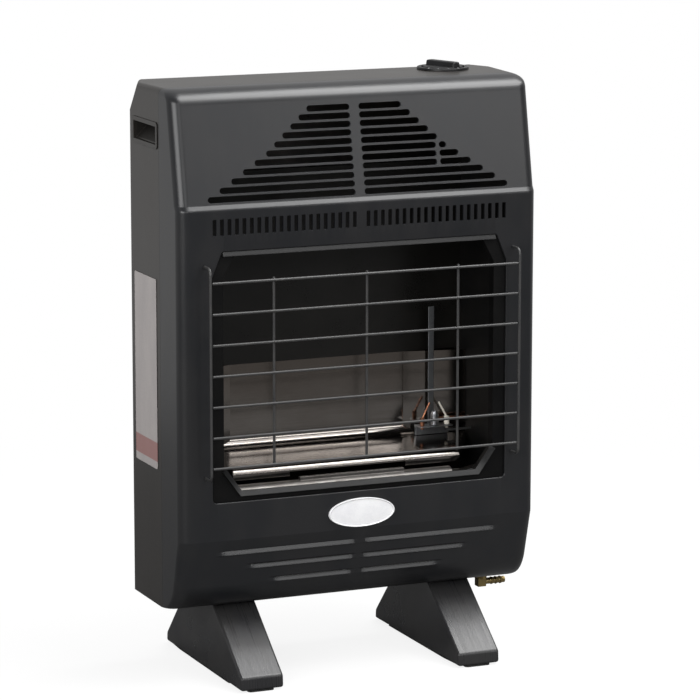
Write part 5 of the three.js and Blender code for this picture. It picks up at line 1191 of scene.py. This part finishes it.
@dataclass(frozen=True)
class SteelCasing:
    """Wrapped sheet of the sides and top, its back and floor, and what is fixed to it."""

    form: CabinetForm = field(default_factory=CabinetForm)
    sheet: float = 1.2
    knob: Flat = (150.0, 35.0)
    well: float = 25.7
    well_depth: float = 20.0
    slot_y: Flat = (-20.0, 52.0)
    slot_z: Flat = (585.0, 608.0)
    slot_corner: float = 4.0
    slot_x: Flat = (190.0, 230.0)
    grip_edge: float = 0.5
    flange_inset: float = 13.2
    flange_y: Flat = (62.3, 63.5)
    floor_cut: float = 1.5
    badge_half: Flat = (39.0, 16.2)
    badge_height: float = 181.0
    badge_thick: float = 2.6
    badge_squeeze: float = 1.3
    badge_sides: int = 72
    # Share of the badge's half height, and share of its thickness.
    badge_section: tuple[Flat, ...] = (
        (1.0, 0.0), (1.0, 0.6), (0.985, 0.85), (0.955, 1.0), (0.925, 0.95),
        (0.905, 0.7), (0.88, 0.66), (0.7, 0.78), (0.45, 0.86), (0.2, 0.9),
    )
    label_y: Flat = (-15.0, 52.0)
    label_z: Flat = (232.0, 441.0)
    label_corner: float = 2.0
    # Distance from the casing, and how much wider the plate is there.
    label_edge: tuple[Flat, ...] = ((0.0, 0.0), (0.25, 0.0), (0.4, -0.15))
    gap: float = 0.3

    def hand_hole(self, side: int) -> Piece:
        """Tool for one hand slot."""
        flat = rounded(box_corners(*self.slot_y, *self.slot_z, self.slot_corner))
        return Mesher.loft("slot", [[(side * x, y, z) for y, z in flat] for x in self.slot_x])

    def wrap(self) -> None:
        """Makes the sheet round the sides and top."""
        form = self.form
        skin = form.between(form.hollow(0.0, self.sheet), form.seam + SEAM_HALF, form.back + PAST / 2)
        flange = form.between(form.hollow(self.sheet / 2, self.flange_inset), *self.flange_y)
        Mesher.combine(skin, flange, Operation.ADD)
        inside = form.half_width - self.sheet
        corner = (inside, form.back + 2 * PAST, form.base + self.floor_cut)
        floor = Mesher.block("floor", (-inside, form.front, 0.0), corner)
        wall = [(self.well, -self.well_depth), (self.well, self.well_depth)]
        well = Mesher.turned("well", wall, (*self.knob, form.top))
        for tool in (floor, well, self.hand_hole(-1), self.hand_hole(1)):
            Mesher.combine(skin, tool, Operation.CUT)
        skin.name = "steel_casing"
        Mesher.smooth(skin, Crease.PRESSED)
        # The casing wears the lighter copy of the charcoal enamel, which is painted light.
        seat(skin, CABINET_BODY, Coat.CASING_ENAMEL_LIT, "charcoal_enamel", "casing_wrap")

    def badge(self) -> None:
        """Makes the plain oval plate with its slim raised rim."""
        half_x, half_z = self.badge_half
        rings = []
        for share, rise in self.badge_section:
            inset = (1 - share) * half_z * self.badge_squeeze
            across, up = max(half_x - inset, half_x * share), half_z * share
            y = self.form.front - self.gap - self.badge_thick * rise
            spokes = circle(self.badge_sides)
            rings.append([(across * c, y, self.badge_height + up * s) for c, s in spokes])
        piece = Mesher.smooth(Mesher.loft("oval_badge", rings), Crease.ROUND)
        seat(piece, CABINET_BODY, Coat.BADGE, "white_badge", "badge_plate")

    def label(self) -> None:
        """Makes the thin plate on the left side."""
        x = -self.form.half_width - self.gap
        corners = box_corners(*self.label_y, *self.label_z, self.label_corner)
        rings = [[(x - depth, y, z) for y, z in rounded(corners, grow)] for depth, grow in self.label_edge]
        piece = Mesher.smooth(Mesher.loft("side_plate", rings))
        seat(piece, CABINET_BODY, Coat.LABEL, "label_plate", "side_label_plate")

    def grips(self) -> None:
        """Rounds the moulded hand slots."""
        for side in ("left", "right"):
            node = f"{side}_hand_grip"
            piece = Mesher.soften(Mesher.copy_of(node, f"{side}_finger_pull"), self.grip_edge)
            # The pockets of the hand slots are painted near black as painted shade.
            seat(Mesher.smooth(piece, Crease.ROUND), CABINET_BODY, Coat.GRIP, "black_plastic", node)

    def build(self) -> None:
        """Makes every piece of the casing."""
        self.wrap()
        self.badge()
        self.label()
        self.grips()
        # The back and floor plates wear the same lighter copy of the enamel, painted light.
        PAINT.nodes(Coat.CASING_ENAMEL_LIT, "back_panel", "base_plate")


# ---------------------------------------------------------------- firebox


@dataclass(frozen=True)
class Firebox:
    """Black surround, lining and polished reflector."""

    # Sections as depth and height; the lower one's height is measured from its path.
    top_lip: tuple[Flat, ...] = (
        (-82.4, 477.8), (-83.2, 477.8), (-85.1, 473.4), (-85.2, 472.7), (-82.4, 472.6),
    )
    top_lip_half: float = 160.0
    low_lip: tuple[Flat, ...] = ((-82.0, -2.8), (-82.4, -2.8), (-85.7, 2.0), (-85.8, 2.7), (-82.0, 2.8))
    low_lip_path: tuple[Flat, ...] = ((-159.0, 240.0), (-140.0, 213.5), (140.0, 213.5), (159.0, 240.0))
    half_width: float = 176.0
    side_gap: float = 0.4
    sheet_y: float = 40.5
    sheet_half: float = 0.5
    sheet_top: float = 330.0
    bend_z: float = 235.5
    bend: float = 15.0
    bend_steps: int = 12
    crest_y: float = 15.0
    lip_y: float = -48.0
    lip_z: float = 230.0
    lip_drop: float = 11.0
    lip_round: float = 6.0
    lip_steps: int = 8
    pan_back: float = 24.0
    pan_wall: float = 1.0
    pan_corners: Flat = (2.0, 0.01)
    rear_taper: float = 0.6
    front_taper: float = 0.5
    front_inset: float = 40.0
    corner_y: float = 20.0
    tail_y: Flat = (23.0, 29.0)
    # Half width and lowest height of the cut.
    tail_reach: Flat = (200.0, 180.0)
    notch_x: float = 69.0
    notch_y: Flat = (-50.0, -45.0)
    notch_z: Flat = (216.0, 224.4)
    wing: tuple[Flat, Flat] = ((105.0, 39.2), (175.2, 24.3))
    wing_thick: float = 0.8
    wing_clear: float = 1.2
    wing_floor_y: float = -60.0
    wing_steps: int = 12
    rounding: float = 0.4

    def surround(self) -> None:
        """Makes the black surround."""
        body = Mesher.soften(Mesher.copy_of("firebox_bezel", "window_surround"), self.rounding)
        seat(Mesher.smooth(body), CABINET_BODY, Coat.SURROUND, "matt_black", "firebox_bezel")

    def lips(self) -> None:
        """Makes the folded lips over and under the aperture."""
        ends = (-self.top_lip_half, self.top_lip_half)
        rings = [[(x, y, z) for y, z in self.top_lip] for x in ends]
        low = []
        last = len(self.low_lip_path) - 1
        for i, (x, z) in enumerate(self.low_lip_path):
            x0, z0 = self.low_lip_path[max(i - 1, 0)]
            x1, z1 = self.low_lip_path[min(i + 1, last)]
            here, ahead = Vector((x - x0, z - z0)), Vector((x1 - x, z1 - z))
            here = here.normalized() if i else ahead.normalized()
            ahead = ahead.normalized() if i < last else here
            out = Vector((here.y + ahead.y, -here.x - ahead.x))
            out /= 0.5 * out.length_squared
            low.append([(x + out.x * reach, y, z + out.y * reach) for y, reach in self.low_lip])
        lips = Mesher.gather("aperture_lips", [Mesher.loft("top", rings), Mesher.loft("low", low)])
        seat(Mesher.smooth(lips, Crease.ROUND), CABINET_BODY, Coat.LIP, "matt_black")

    def tray_height(self, y: float) -> float:
        """Height of the tray's middle at a depth; it falls from its crest to its lip."""
        share = max((self.crest_y - y) / (self.crest_y - self.lip_y), 0.0)
        return self.bend_z - (self.bend_z - self.lip_z) * share**2

    def plan(self, border: float) -> list[Flat]:
        """Outline of the pan seen from above, drawn in by a border."""
        rear = self.half_width - self.side_gap - border * self.rear_taper
        front = self.half_width - self.front_inset - border * self.front_taper
        y = self.lip_y + border
        wide, fine = self.pan_corners
        corners = [
            (-front, y, wide), (front, y, wide), (rear, self.corner_y, wide), (rear, self.pan_back, fine),
            (-rear, self.pan_back, fine), (-rear, self.corner_y, wide),
        ]
        return rounded(corners, steps=4)

    def pan(self) -> None:
        """Makes the sloping tray with its rolled front lip and the notch in it."""
        arc = quarter(self.lip_steps)
        curl = [(self.lip_round * (1 - sine), self.lip_round * (1 - cosine)) for cosine, sine in arc]
        hem = (self.pan_wall, self.lip_drop)
        inner = [(border + self.pan_wall, drop + self.pan_wall) for border, drop in curl]
        rings = []
        for border, drop in [*curl, (0.0, self.lip_drop), hem, *inner[::-1]]:
            plan = self.plan(border)
            rings.append([(x, y, self.tray_height(y) + self.sheet_half - drop) for x, y in plan])
        pan = Mesher.loft("reflector_pan", rings)
        side, low = self.tail_reach
        tail = []
        for y in self.tail_y:
            roof = self.tray_height(y) - self.sheet_half
            tail.append([(-side, y, roof), (side, y, roof), (side, y, low), (-side, y, low)])
        Mesher.combine(pan, Mesher.loft("tail", tail), Operation.CUT)
        (y0, y1), (z0, z1) = self.notch_y, self.notch_z
        notch = Mesher.block("notch", (-self.notch_x, y0, z0), (self.notch_x, y1, z1))
        Mesher.combine(pan, notch, Operation.CUT)
        Mesher.smooth(pan, Crease.MOULDED)
        seat(pan, CABINET_BODY, Coat.POLISHED, "polished_steel", "reflector_tray")

    def bend_line(self) -> list[Flat]:
        """Line of the tray's rear and its bend, as depth and height."""
        near = self.sheet_y - self.bend
        foot, head = (near, self.tray_height(near)), (self.sheet_y, self.bend_z + self.bend)
        rear = (self.pan_back, self.tray_height(self.pan_back))
        return [rear, *bow(foot, (self.sheet_y, self.bend_z), head, self.bend_steps)]

    def wings(self) -> None:
        """Makes the polished wings that splay from the sheet to the side walls."""
        (x0, y0), (x1, y1) = self.wing
        run = Vector((x1 - x0, y1 - y0))
        out = Vector((-run.y, run.x)).normalized() * self.wing_thick
        start = (self.wing_floor_y, self.tray_height(self.wing_floor_y))
        curve = [start, (self.lip_y, self.lip_z), *self.bend_line()]
        high = self.sheet_top
        pieces = []
        for side in (-1, 1):
            rings = []
            for i in range(self.wing_steps + 1):
                x, y = x0 + run.x * i / self.wing_steps, y0 + run.y * i / self.wing_steps
                low = between_points(curve, y) + self.wing_clear
                flat = ((x, y, low), (x, y, high), (x + out.x, y + out.y, high), (x + out.x, y + out.y, low))
                rings.append([(side * a, b, c) for a, b, c in flat])
            pieces.append(Mesher.loft("wing", rings))
        wings = Mesher.gather("reflector_wings", pieces)
        seat(Mesher.smooth(wings, Crease.BENT), CABINET_BODY, Coat.POLISHED, "polished_steel")

    def mirror(self) -> None:
        """Makes the upright polished sheet and its bend into the tray."""
        line = [*self.bend_line(), (self.sheet_y, self.sheet_top)]
        half = self.sheet_half
        left, right = [], []
        for i, (y, z) in enumerate(line):
            y0, z0 = line[max(i - 1, 0)]
            y1, z1 = line[min(i + 1, len(line) - 1)]
            size = math.hypot(y1 - y0, z1 - z0)
            ny, nz = -(z1 - z0) / size * half, (y1 - y0) / size * half
            left.append((y + ny, z + nz))
            right.append((y - ny, z - nz))
        flat = left + right[::-1]
        edge = self.half_width - self.side_gap
        rings = [[(x, y, z) for y, z in flat] for x in (-edge, edge)]
        piece = Mesher.smooth(Mesher.loft("reflector_sheet", rings), Crease.MOULDED)
        seat(piece, CABINET_BODY, Coat.POLISHED, "polished_steel")

    def build(self) -> None:
        """Makes every piece of the firebox."""
        self.surround()
        self.lips()
        self.pan()
        self.mirror()
        self.wings()
        PAINT.nodes(Coat.MATT_BLACK, "firebox_left_wall", "firebox_right_wall")
        PAINT.nodes(Coat.SCORCHED, "firebox_back", "top_deflector")
        PAINT.nodes(Coat.ZINC, "heat_shield")


# ---------------------------------------------------------------- burner and pilot


@dataclass(frozen=True)
class Burner:
    """Burner tube under the tray, and what feeds it."""

    rounding: float = 0.35

    def build(self) -> None:
        """Rounds the tube and dresses the burner's parts."""
        tube = Mesher.soften(Mesher.copy_of("burner_tube", "slotted_burner"), self.rounding)
        seat(Mesher.smooth(tube, Crease.MOULDED), CABINET_BODY, Coat.BARE_STEEL, "dark_steel", "burner_tube")
        PAINT.nodes(Coat.SCORCHED, "venturi_tube", "burner_bracket_left", "burner_bracket_right")
        PAINT.nodes(Coat.BRASS, "gas_injector")


@dataclass(frozen=True)
class Pilot:
    """Upright strip behind the guard with the pilot burner and its probes."""

    rounding: float = 0.4
    foot_drop: float = 4.0
    foot_below: float = 242.5

    def lengthen(self, piece: Piece) -> None:
        """Draws the strip's foot down to the tray."""
        for vertex in piece.data.vertices:
            if vertex.co.z < self.foot_below * MM:
                vertex.co.z -= self.foot_drop * MM

    def build(self) -> None:
        """Rounds and dresses the pilot's parts."""
        parts = (
            ("pilot_bracket", "pilot_strip", Coat.ZINC, "zinc_steel"),
            ("pilot_burner", "pilot_head", Coat.ZINC, "zinc_steel"),
            ("thermocouple", "flame_probe", Coat.COPPER, "copper"),
            ("spark_electrode", "spark_rod", Coat.CERAMIC, "ceramic"),
        )
        for node, name, coat, slot in parts:
            piece = Mesher.copy_of(node, name)
            if node == "pilot_bracket":
                self.lengthen(piece)
            Mesher.soften(piece, self.rounding)
            seat(Mesher.smooth(piece, Crease.MOULDED), CABINET_BODY, coat, slot, node)


# ---------------------------------------------------------------- controls and gas


@dataclass(frozen=True)
class Controls:
    """Knob, its dial ring and the tap under them."""

    centre: Flat = (150.0, 35.0)
    radius: float = 22.5
    skirt: Flat = (647.0, 651.5)
    grip_top: float = 657.0
    grip_half: Flat = (22.0, 5.0)
    grip_corner: float = 1.8
    # Distance below the top, and how far in from the outline.
    grip_edge: tuple[Flat, ...] = ((6.5, -0.5), (1.5, 0.0), (0.9, 0.15), (0.35, 0.6), (0.0, 1.5))
    turn: float = 20.0
    ribs: int = 48
    rib_sides: int = 4
    rib_depth: float = 0.35
    # How far in from the radius, and share of the flutes' depth.
    skirt_foot: tuple[Flat, ...] = ((3.0, 0.0), (0.0, 1.0))
    # How far in from the radius, distance below the top, share of the flutes' depth.
    skirt_edge: tuple[Point, ...] = (
        (0.0, 1.2, 1.0), (0.35, 0.45, 0.6), (1.3, 0.0, 0.0), (6.0, 0.0, 0.0), (20.5, 0.0, 0.0),
    )
    bore: float = 3.4
    bore_depth: Flat = (-5.0, 8.0)
    pointer_reach: Flat = (9.0, 17.5)
    pointer_half: float = 0.8
    pointer_corner: float = 0.4
    # Distance below the grip's top, and how far in from the outline.
    pointer_edge: tuple[Flat, ...] = ((0.6, 0.0), (0.02, 0.1))
    rim: float = 29.0
    rim_sides: int = 96
    rim_rise: Flat = (648.3, 650.9)
    # How far in from the rim, and distance below the top.
    rim_edge: tuple[Flat, ...] = ((0.0, 1.7), (0.25, 0.5), (0.9, 0.0))
    throat: float = 24.0
    # How far out from the throat, and distance below the top.
    throat_edge: tuple[Flat, ...] = ((0.9, 0.0), (0.25, 0.3), (0.0, 0.9))
    well_z: Flat = (641.0, 642.4)
    well_wall: float = 1.4
    # Radius and height.
    well_hole: tuple[Flat, ...] = ((6.6, 642.4), (6.1, 642.0), (6.1, 641.0))
    marks: int = 7
    long_every: int = 3
    mark_sweep: float = 150.0
    mark_half: float = 0.5
    mark_inner: Flat = (25.4, 26.2)
    mark_outer: float = 28.0
    mark_rise: Flat = (-0.3, 0.05)

    def placed(self, points: Sequence[Flat], angle: float, z: float) -> Ring:
        """Turns points about the knob's centre.

        Args:
            points: places along and across a line through the centre.
            angle: direction of that line, in degrees.
            z: height.

        Returns:
            The points at their places.
        """
        x, y = self.centre
        cosine, sine = math.cos(math.radians(angle)), math.sin(math.radians(angle))
        return [(x + u * cosine - v * sine, y + u * sine + v * cosine, z) for u, v in points]

    def skirt_ring(self, radius: float, z: float, fluted: float) -> Ring:
        """Ring of the knob's skirt with shallow flutes."""
        flat = []
        count = self.ribs * self.rib_sides
        for k, (cosine, sine) in enumerate(circle(count)):
            wave = (1 - math.cos(2 * math.pi * k * self.ribs / count)) / 2
            r = radius - fluted * self.rib_depth * wave
            flat.append((r * cosine, r * sine))
        return self.placed(flat, 0.0, z)

    def grip(self) -> Piece:
        """Bar across the knob, its top edges rounded."""
        half, width = self.grip_half
        rings = []
        for drop, inset in self.grip_edge:
            corners = box_corners(inset - half, half - inset, inset - width, width - inset, self.grip_corner)
            rings.append(self.placed(rounded(corners, steps=4), 90.0 + self.turn, self.grip_top - drop))
        return Mesher.loft("grip", rings)

    def knob(self) -> None:
        """Makes the knob."""
        low, high = self.skirt
        steps = [(inset, low, flutes) for inset, flutes in self.skirt_foot]
        steps += [(inset, high - drop, flutes) for inset, drop, flutes in self.skirt_edge]
        rings = [self.skirt_ring(self.radius - inset, z, flutes) for inset, z, flutes in steps]
        body = Mesher.loft("turning_knob", rings)
        foot, depth = self.bore_depth
        bore = Mesher.turned("bore", [(self.bore, 0.0), (self.bore, depth)], (*self.centre, low + foot))
        Mesher.combine(body, self.grip(), Operation.ADD)
        Mesher.combine(body, bore, Operation.CUT)
        seat(Mesher.smooth(body, Crease.MOULDED), KNOB_BODY, Coat.KNOB, "black_plastic", "control_knob")

    def pointer(self) -> None:
        """Makes the slim light bar on the grip's front end."""
        near, far = self.pointer_reach
        half = self.pointer_half
        rings = []
        for drop, inset in self.pointer_edge:
            corners = box_corners(near + inset, far - inset, inset - half, half - inset, self.pointer_corner)
            rings.append(self.placed(rounded(corners, steps=3), 270.0 + self.turn, self.grip_top - drop))
        seat(Mesher.loft("knob_pointer", rings), KNOB_BODY, Coat.MARK, "white_badge")

    def ring(self) -> None:
        """Makes the dial ring with the well inside it."""
        low, high = self.rim_rise
        bottom, floor = self.well_z
        steps = [(self.rim, low)]
        steps += [(self.rim - inset, high - drop) for inset, drop in self.rim_edge]
        steps += [(self.throat + out, high - drop) for out, drop in self.throat_edge]
        steps += [(self.throat, floor), *self.well_hole]
        steps += [(self.throat + self.well_wall, z) for z in (bottom, low)]
        spokes = circle(self.rim_sides)
        rings = [self.placed([(r * c, r * s) for c, s in spokes], 0.0, z) for r, z in steps]
        piece = Mesher.smooth(Mesher.loft("dial_ring", rings, looped=True), Crease.MOULDED)
        seat(piece, CABINET_BODY, Coat.KNOB, "black_plastic", "knob_bezel")

    def scale(self) -> None:
        """Makes the plain marks on the dial ring."""
        marks = []
        half, outer = self.mark_half, self.mark_outer
        for i in range(self.marks):
            angle = self.mark_sweep * (i / (self.marks - 1) - 1)
            inner = self.mark_inner[0 if i % self.long_every == 0 else 1]
            flat = [(inner, -half), (outer, -half), (outer, half), (inner, half)]
            rings = [self.placed(flat, angle, self.rim_rise[1] + rise) for rise in self.mark_rise]
            marks.append(Mesher.loft("mark", rings))
        seat(Mesher.gather("dial_marks", marks), CABINET_BODY, Coat.MARK, "white_badge")

    def build(self) -> None:
        """Makes the controls and dresses what is under them."""
        self.knob()
        self.pointer()
        self.ring()
        self.scale()
        PAINT.nodes(Coat.BRASS, "tap_body", "tap_plug")
        PAINT.nodes(Coat.ZINC, "tap_spindle", "tap_bracket")
        PAINT.nodes(Coat.KNOB, "piezo_igniter")


@dataclass(frozen=True)
class GasInlet:
    """Elbow at the lower right and the pipes behind it."""

    rounding: float = 0.25
    least_angle: float = 40.0

    def build(self) -> None:
        """Rounds the elbow and dresses the pipes."""
        elbow = Mesher.copy_of("inlet_elbow", "hose_elbow")
        Mesher.soften(elbow, self.rounding, angle=self.least_angle)
        seat(Mesher.smooth(elbow, Crease.MOULDED), CABINET_BODY, Coat.BRASS, "brass", "inlet_elbow")
        PAINT.nodes(Coat.BRASS, "inlet_nut")
        PAINT.nodes(Coat.COPPER, "inlet_pipe", "burner_pipe", "pilot_pipe")
        PAINT.nodes(Coat.RUBBER, "ignition_lead")


# ---------------------------------------------------------------- guard and feet


@dataclass(frozen=True)
class Guard:
    """Welded wires across the window and the rods that carry them."""

    y: float = -102.0
    radius: float = 1.5
    rows: int = 7
    pitch: float = 33.4
    bottom: float = 246.8
    reach: float = 179.2
    upright_x: float = 108.0
    upright_y: float = -99.4
    overrun: float = 3.0
    rod_x: float = 181.0
    rod_z: Flat = (233.8, 463.0)
    rod_end: float = -79.0
    bend: float = 7.0
    bend_steps: int = 8
    lead: float = 4.0
    straight: float = 60.0
    bar_steps: int = 12
    upright_steps: int = 8
    # Radius, and place along the depth from the weld's middle.
    weld: tuple[Flat, ...] = ((0.4, -1.5), (1.6, -0.8), (1.9, 0.0), (1.6, 0.8), (0.4, 1.5))

    def grid(self) -> None:
        """Makes the bars and uprights."""
        wires = []
        heights = [self.bottom + row * self.pitch for row in range(self.rows)]
        for z in heights:
            places = [self.reach * (2 * i / self.bar_steps - 1) for i in range(self.bar_steps + 1)]
            wires.append(Mesher.rod("bar", [(x, self.y, z) for x in places], self.radius))
        low, count = self.bottom - self.overrun, self.upright_steps
        span = heights[-1] - self.bottom + 2 * self.overrun
        middle = (self.y + self.upright_y) / 2
        for x in (-self.upright_x, 0.0, self.upright_x):
            path = [(x, self.upright_y, low + span * i / count) for i in range(count + 1)]
            wires.append(Mesher.rod("upright", path, self.radius))
            for z in heights:
                wires.append(Mesher.turned("weld", self.weld, (x, middle, z), axis=(0, 1, 0), sides=14))
        grid = Mesher.gather("guard_grid", wires)
        seat(Mesher.smooth(grid, Crease.ROUND), CABINET_BODY, Coat.WIRE, "guard_wire", "wire_guard")

    def rod_path(self, x: float) -> list[Point]:
        """Middle line of a side rod, with its two bends."""
        low, high = self.rod_z
        half = [(self.rod_end, 0.0), (self.y + self.bend + self.lead, 0.0)]
        for cosine, sine in quarter(self.bend_steps):
            half.append((self.y + self.bend * (1 - sine), self.bend * (1 - cosine)))
        half.append((self.y, self.straight))
        lower = [(x, y, low + rise) for y, rise in half]
        return lower + [(x, y, high - rise) for y, rise in half[::-1]]

    def build(self) -> None:
        """Makes the guard."""
        self.grid()
        for side, x in (("left", -self.rod_x), ("right", self.rod_x)):
            rod = Mesher.rod(f"{side}_side_rod", self.rod_path(x), self.radius)
            seat(Mesher.smooth(rod, Crease.ROUND), CABINET_BODY, Coat.WIRE, "guard_wire", f"guard_rod_{side}")
            PAINT.nodes(Coat.ZINC, f"guard_clip_{side}_lower", f"guard_clip_{side}_upper")


@dataclass(frozen=True)
class Feet:
    """Two splayed feet with their rubber pads and screws, and the screws of the back."""

    rounding: float = 2.8
    rounding_steps: int = 4
    least_angle: float = 20.0
    back_screws: int = 6

    def build(self) -> None:
        """Rounds the feet and dresses the pads and screws."""
        for side in ("left", "right"):
            node = f"{side}_foot"
            foot = Mesher.copy_of(node, f"{side}_splayed_foot")
            Mesher.soften(foot, self.rounding, self.rounding_steps, self.least_angle)
            seat(Mesher.smooth(foot, Crease.MOULDED), CABINET_BODY, Coat.FOOT, "foot_plastic", node)
            for end in ("front", "back"):
                PAINT.nodes(Coat.RUBBER, f"{side}_foot_pad_{end}")
                PAINT.nodes(Coat.ZINC, f"{side}_foot_screw_{end}")
        PAINT.nodes(Coat.ZINC, *[f"back_screw_{i + 1}" for i in range(self.back_screws)])


# ---------------------------------------------------------------- studio


WHITE = (1.0, 1.0, 1.0, 1.0)


@dataclass(frozen=True)
class Softbox:
    """One plain area light."""

    title: str
    place: Point
    aim: Point
    size: Flat
    radiance: float

    def build(self) -> None:
        """Hangs the light."""
        lamp = bpy.data.lights.new(self.title, "AREA")
        lamp.shape = "RECTANGLE"
        lamp.size, lamp.size_y = self.size
        lamp.energy = self.radiance * math.pi * self.size[0] * self.size[1]
        light = bpy.data.objects.new(self.title, lamp)
        light.location = self.place
        heading = Vector(self.aim) - Vector(self.place)
        light.rotation_euler = heading.to_track_quat("-Z", "Y").to_euler()
        bpy.context.scene.collection.objects.link(light)


@dataclass(frozen=True)
class Studio:
    """White floor, soft lights and the camera."""

    target: Point = (0.0, -0.01025, 0.34)
    azimuth: float = -22.95
    elevation: float = 10.66
    distance: float = 3.97477
    lens: float = 185.4
    shift: Flat = (0.022, 0.010)
    floor_half: float = 1.3
    floor_fade: Flat = (0.55, 1.25)
    floor_glow: float = 0.84
    floor_mirrored: Colour = (0.16, 0.16, 0.16)
    floor_seen: Colour = (0.9, 0.9, 0.9)
    fill: float = 0.55
    front_mirror: float = 0.2
    rear_mirror: float = 0.55
    mirror_span: Flat = (-0.35, 0.35)
    sensor: float = 36.0
    sight: float = 500.0
    lights: tuple[Softbox, ...] = (
        Softbox("overhead", (0.6, -0.25, 1.75), (0.1, 0.0, 0.3), (1.2, 1.1), 9.0),
        Softbox("key", (0.9, -1.92, 2.42), (0.0, 0.0, 0.35), (1.3, 1.7), 3.0),
        Softbox("panel_light", (2.18, -3.78, 1.64), (0.0, 0.0, 0.55), (1.6, 0.45), 6.0),
        Softbox("left_light", (-2.21, -1.85, 1.23), (0.0, 0.0, 0.4), (2.0, 1.3), 6.3),
        Softbox("near_light", (-0.32, -3.03, 1.39), (0.0, 0.0, 0.4), (0.9, 1.0), 3.3),
    )

    def camera(self) -> None:
        """Aims the camera."""
        lens = bpy.data.cameras.new("camera")
        lens.sensor_width = self.sensor
        lens.lens = self.lens
        lens.shift_x, lens.shift_y = self.shift
        lens.clip_end = self.sight
        view = bpy.data.objects.new("camera", lens)
        turn, lift = math.radians(self.azimuth), math.radians(self.elevation)
        back = Vector((math.sin(turn) * math.cos(lift), -math.cos(turn) * math.cos(lift), math.sin(lift)))
        view.location = Vector(self.target) + back * self.distance
        view.rotation_euler = (-back).to_track_quat("-Z", "Y").to_euler()
        bpy.context.scene.collection.objects.link(view)
        bpy.context.scene.camera = view

    def world(self) -> None:
        """White surroundings for what is seen, softer ones for what is lit or mirrored."""
        world = bpy.data.worlds.new("studio")
        bpy.context.scene.world = world
        world.use_nodes = True
        graph = Graph.of(world.node_tree)
        heading = graph.node("ShaderNodeTexCoord", output="Generated")
        depth = graph.node("ShaderNodeSeparateXYZ", inputs={0: heading}, output="Y")
        share = depth.ramp(*self.mirror_span)
        mirrored = share * (self.rear_mirror - self.front_mirror) + self.front_mirror
        glossy = graph.node("ShaderNodeLightPath", output="Is Glossy Ray")
        through = graph.node("ShaderNodeLightPath", output="Is Transmission Ray")
        seen = graph.node("ShaderNodeLightPath", output="Is Camera Ray").most(through)
        level = (1 - glossy) * self.fill + glossy * mirrored
        strength = (1 - seen) * level + seen
        background = graph.node("ShaderNodeBackground", inputs={"Strength": strength})
        background.socket.node.inputs["Color"].default_value = WHITE
        end = world.node_tree.nodes.new("ShaderNodeOutputWorld")
        world.node_tree.links.new(background.socket, end.inputs["Surface"])

    def floor(self) -> None:
        """Lays the pale floor, which keeps the shadow and fades into the white around it."""
        half = self.floor_half / MM
        flat = [(-half, -half, 0.0), (half, -half, 0.0), (half, half, 0.0), (-half, half, 0.0)]
        floor = Mesher.shell("studio_floor", flat, [(0, 1, 2, 3)])
        graph = Graph("floor_white")
        lit = graph.node("ShaderNodeBsdfDiffuse", inputs={"Color": (*self.floor_mirrored, 1.0)})
        matt = graph.node("ShaderNodeBsdfDiffuse", inputs={"Color": (*self.floor_seen, 1.0)})
        glow = graph.node("ShaderNodeEmission", inputs={"Color": WHITE, "Strength": 1.0})
        spot = graph.place()
        reach = graph.node("ShaderNodeVectorMath", {"operation": "LENGTH"}, {0: spot}, output="Value")
        share = reach.ramp(*self.floor_fade) * (1 - self.floor_glow) + self.floor_glow
        pale = graph.node("ShaderNodeMixShader", inputs={0: share, 1: matt, 2: glow})
        seen = graph.node("ShaderNodeLightPath", output="Is Camera Ray")
        shader = graph.node("ShaderNodeMixShader", inputs={0: seen, 1: lit, 2: pale})
        floor.data.materials.append(graph.surface(shader))

    def build(self) -> None:
        """Sets the scene's light and camera."""
        self.floor()
        self.world()
        for light in self.lights:
            light.build()
        self.camera()
        bpy.context.scene.view_settings.view_transform = "Standard"


def main() -> None:
    """Builds the heater and its studio."""
    logging.basicConfig(level=logging.INFO, format="%(name)s: %(message)s")
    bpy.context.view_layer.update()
    assemblies = (
        FrontMoulding(), SteelCasing(), Firebox(), Burner(), Pilot(),
        Controls(), GasInlet(), Guard(), Feet(), Studio(),
    )
    for assembly in assemblies:
        LOG.info("building %s", type(assembly).__name__)
        assembly.build()


if __name__ == "__main__":
    main()
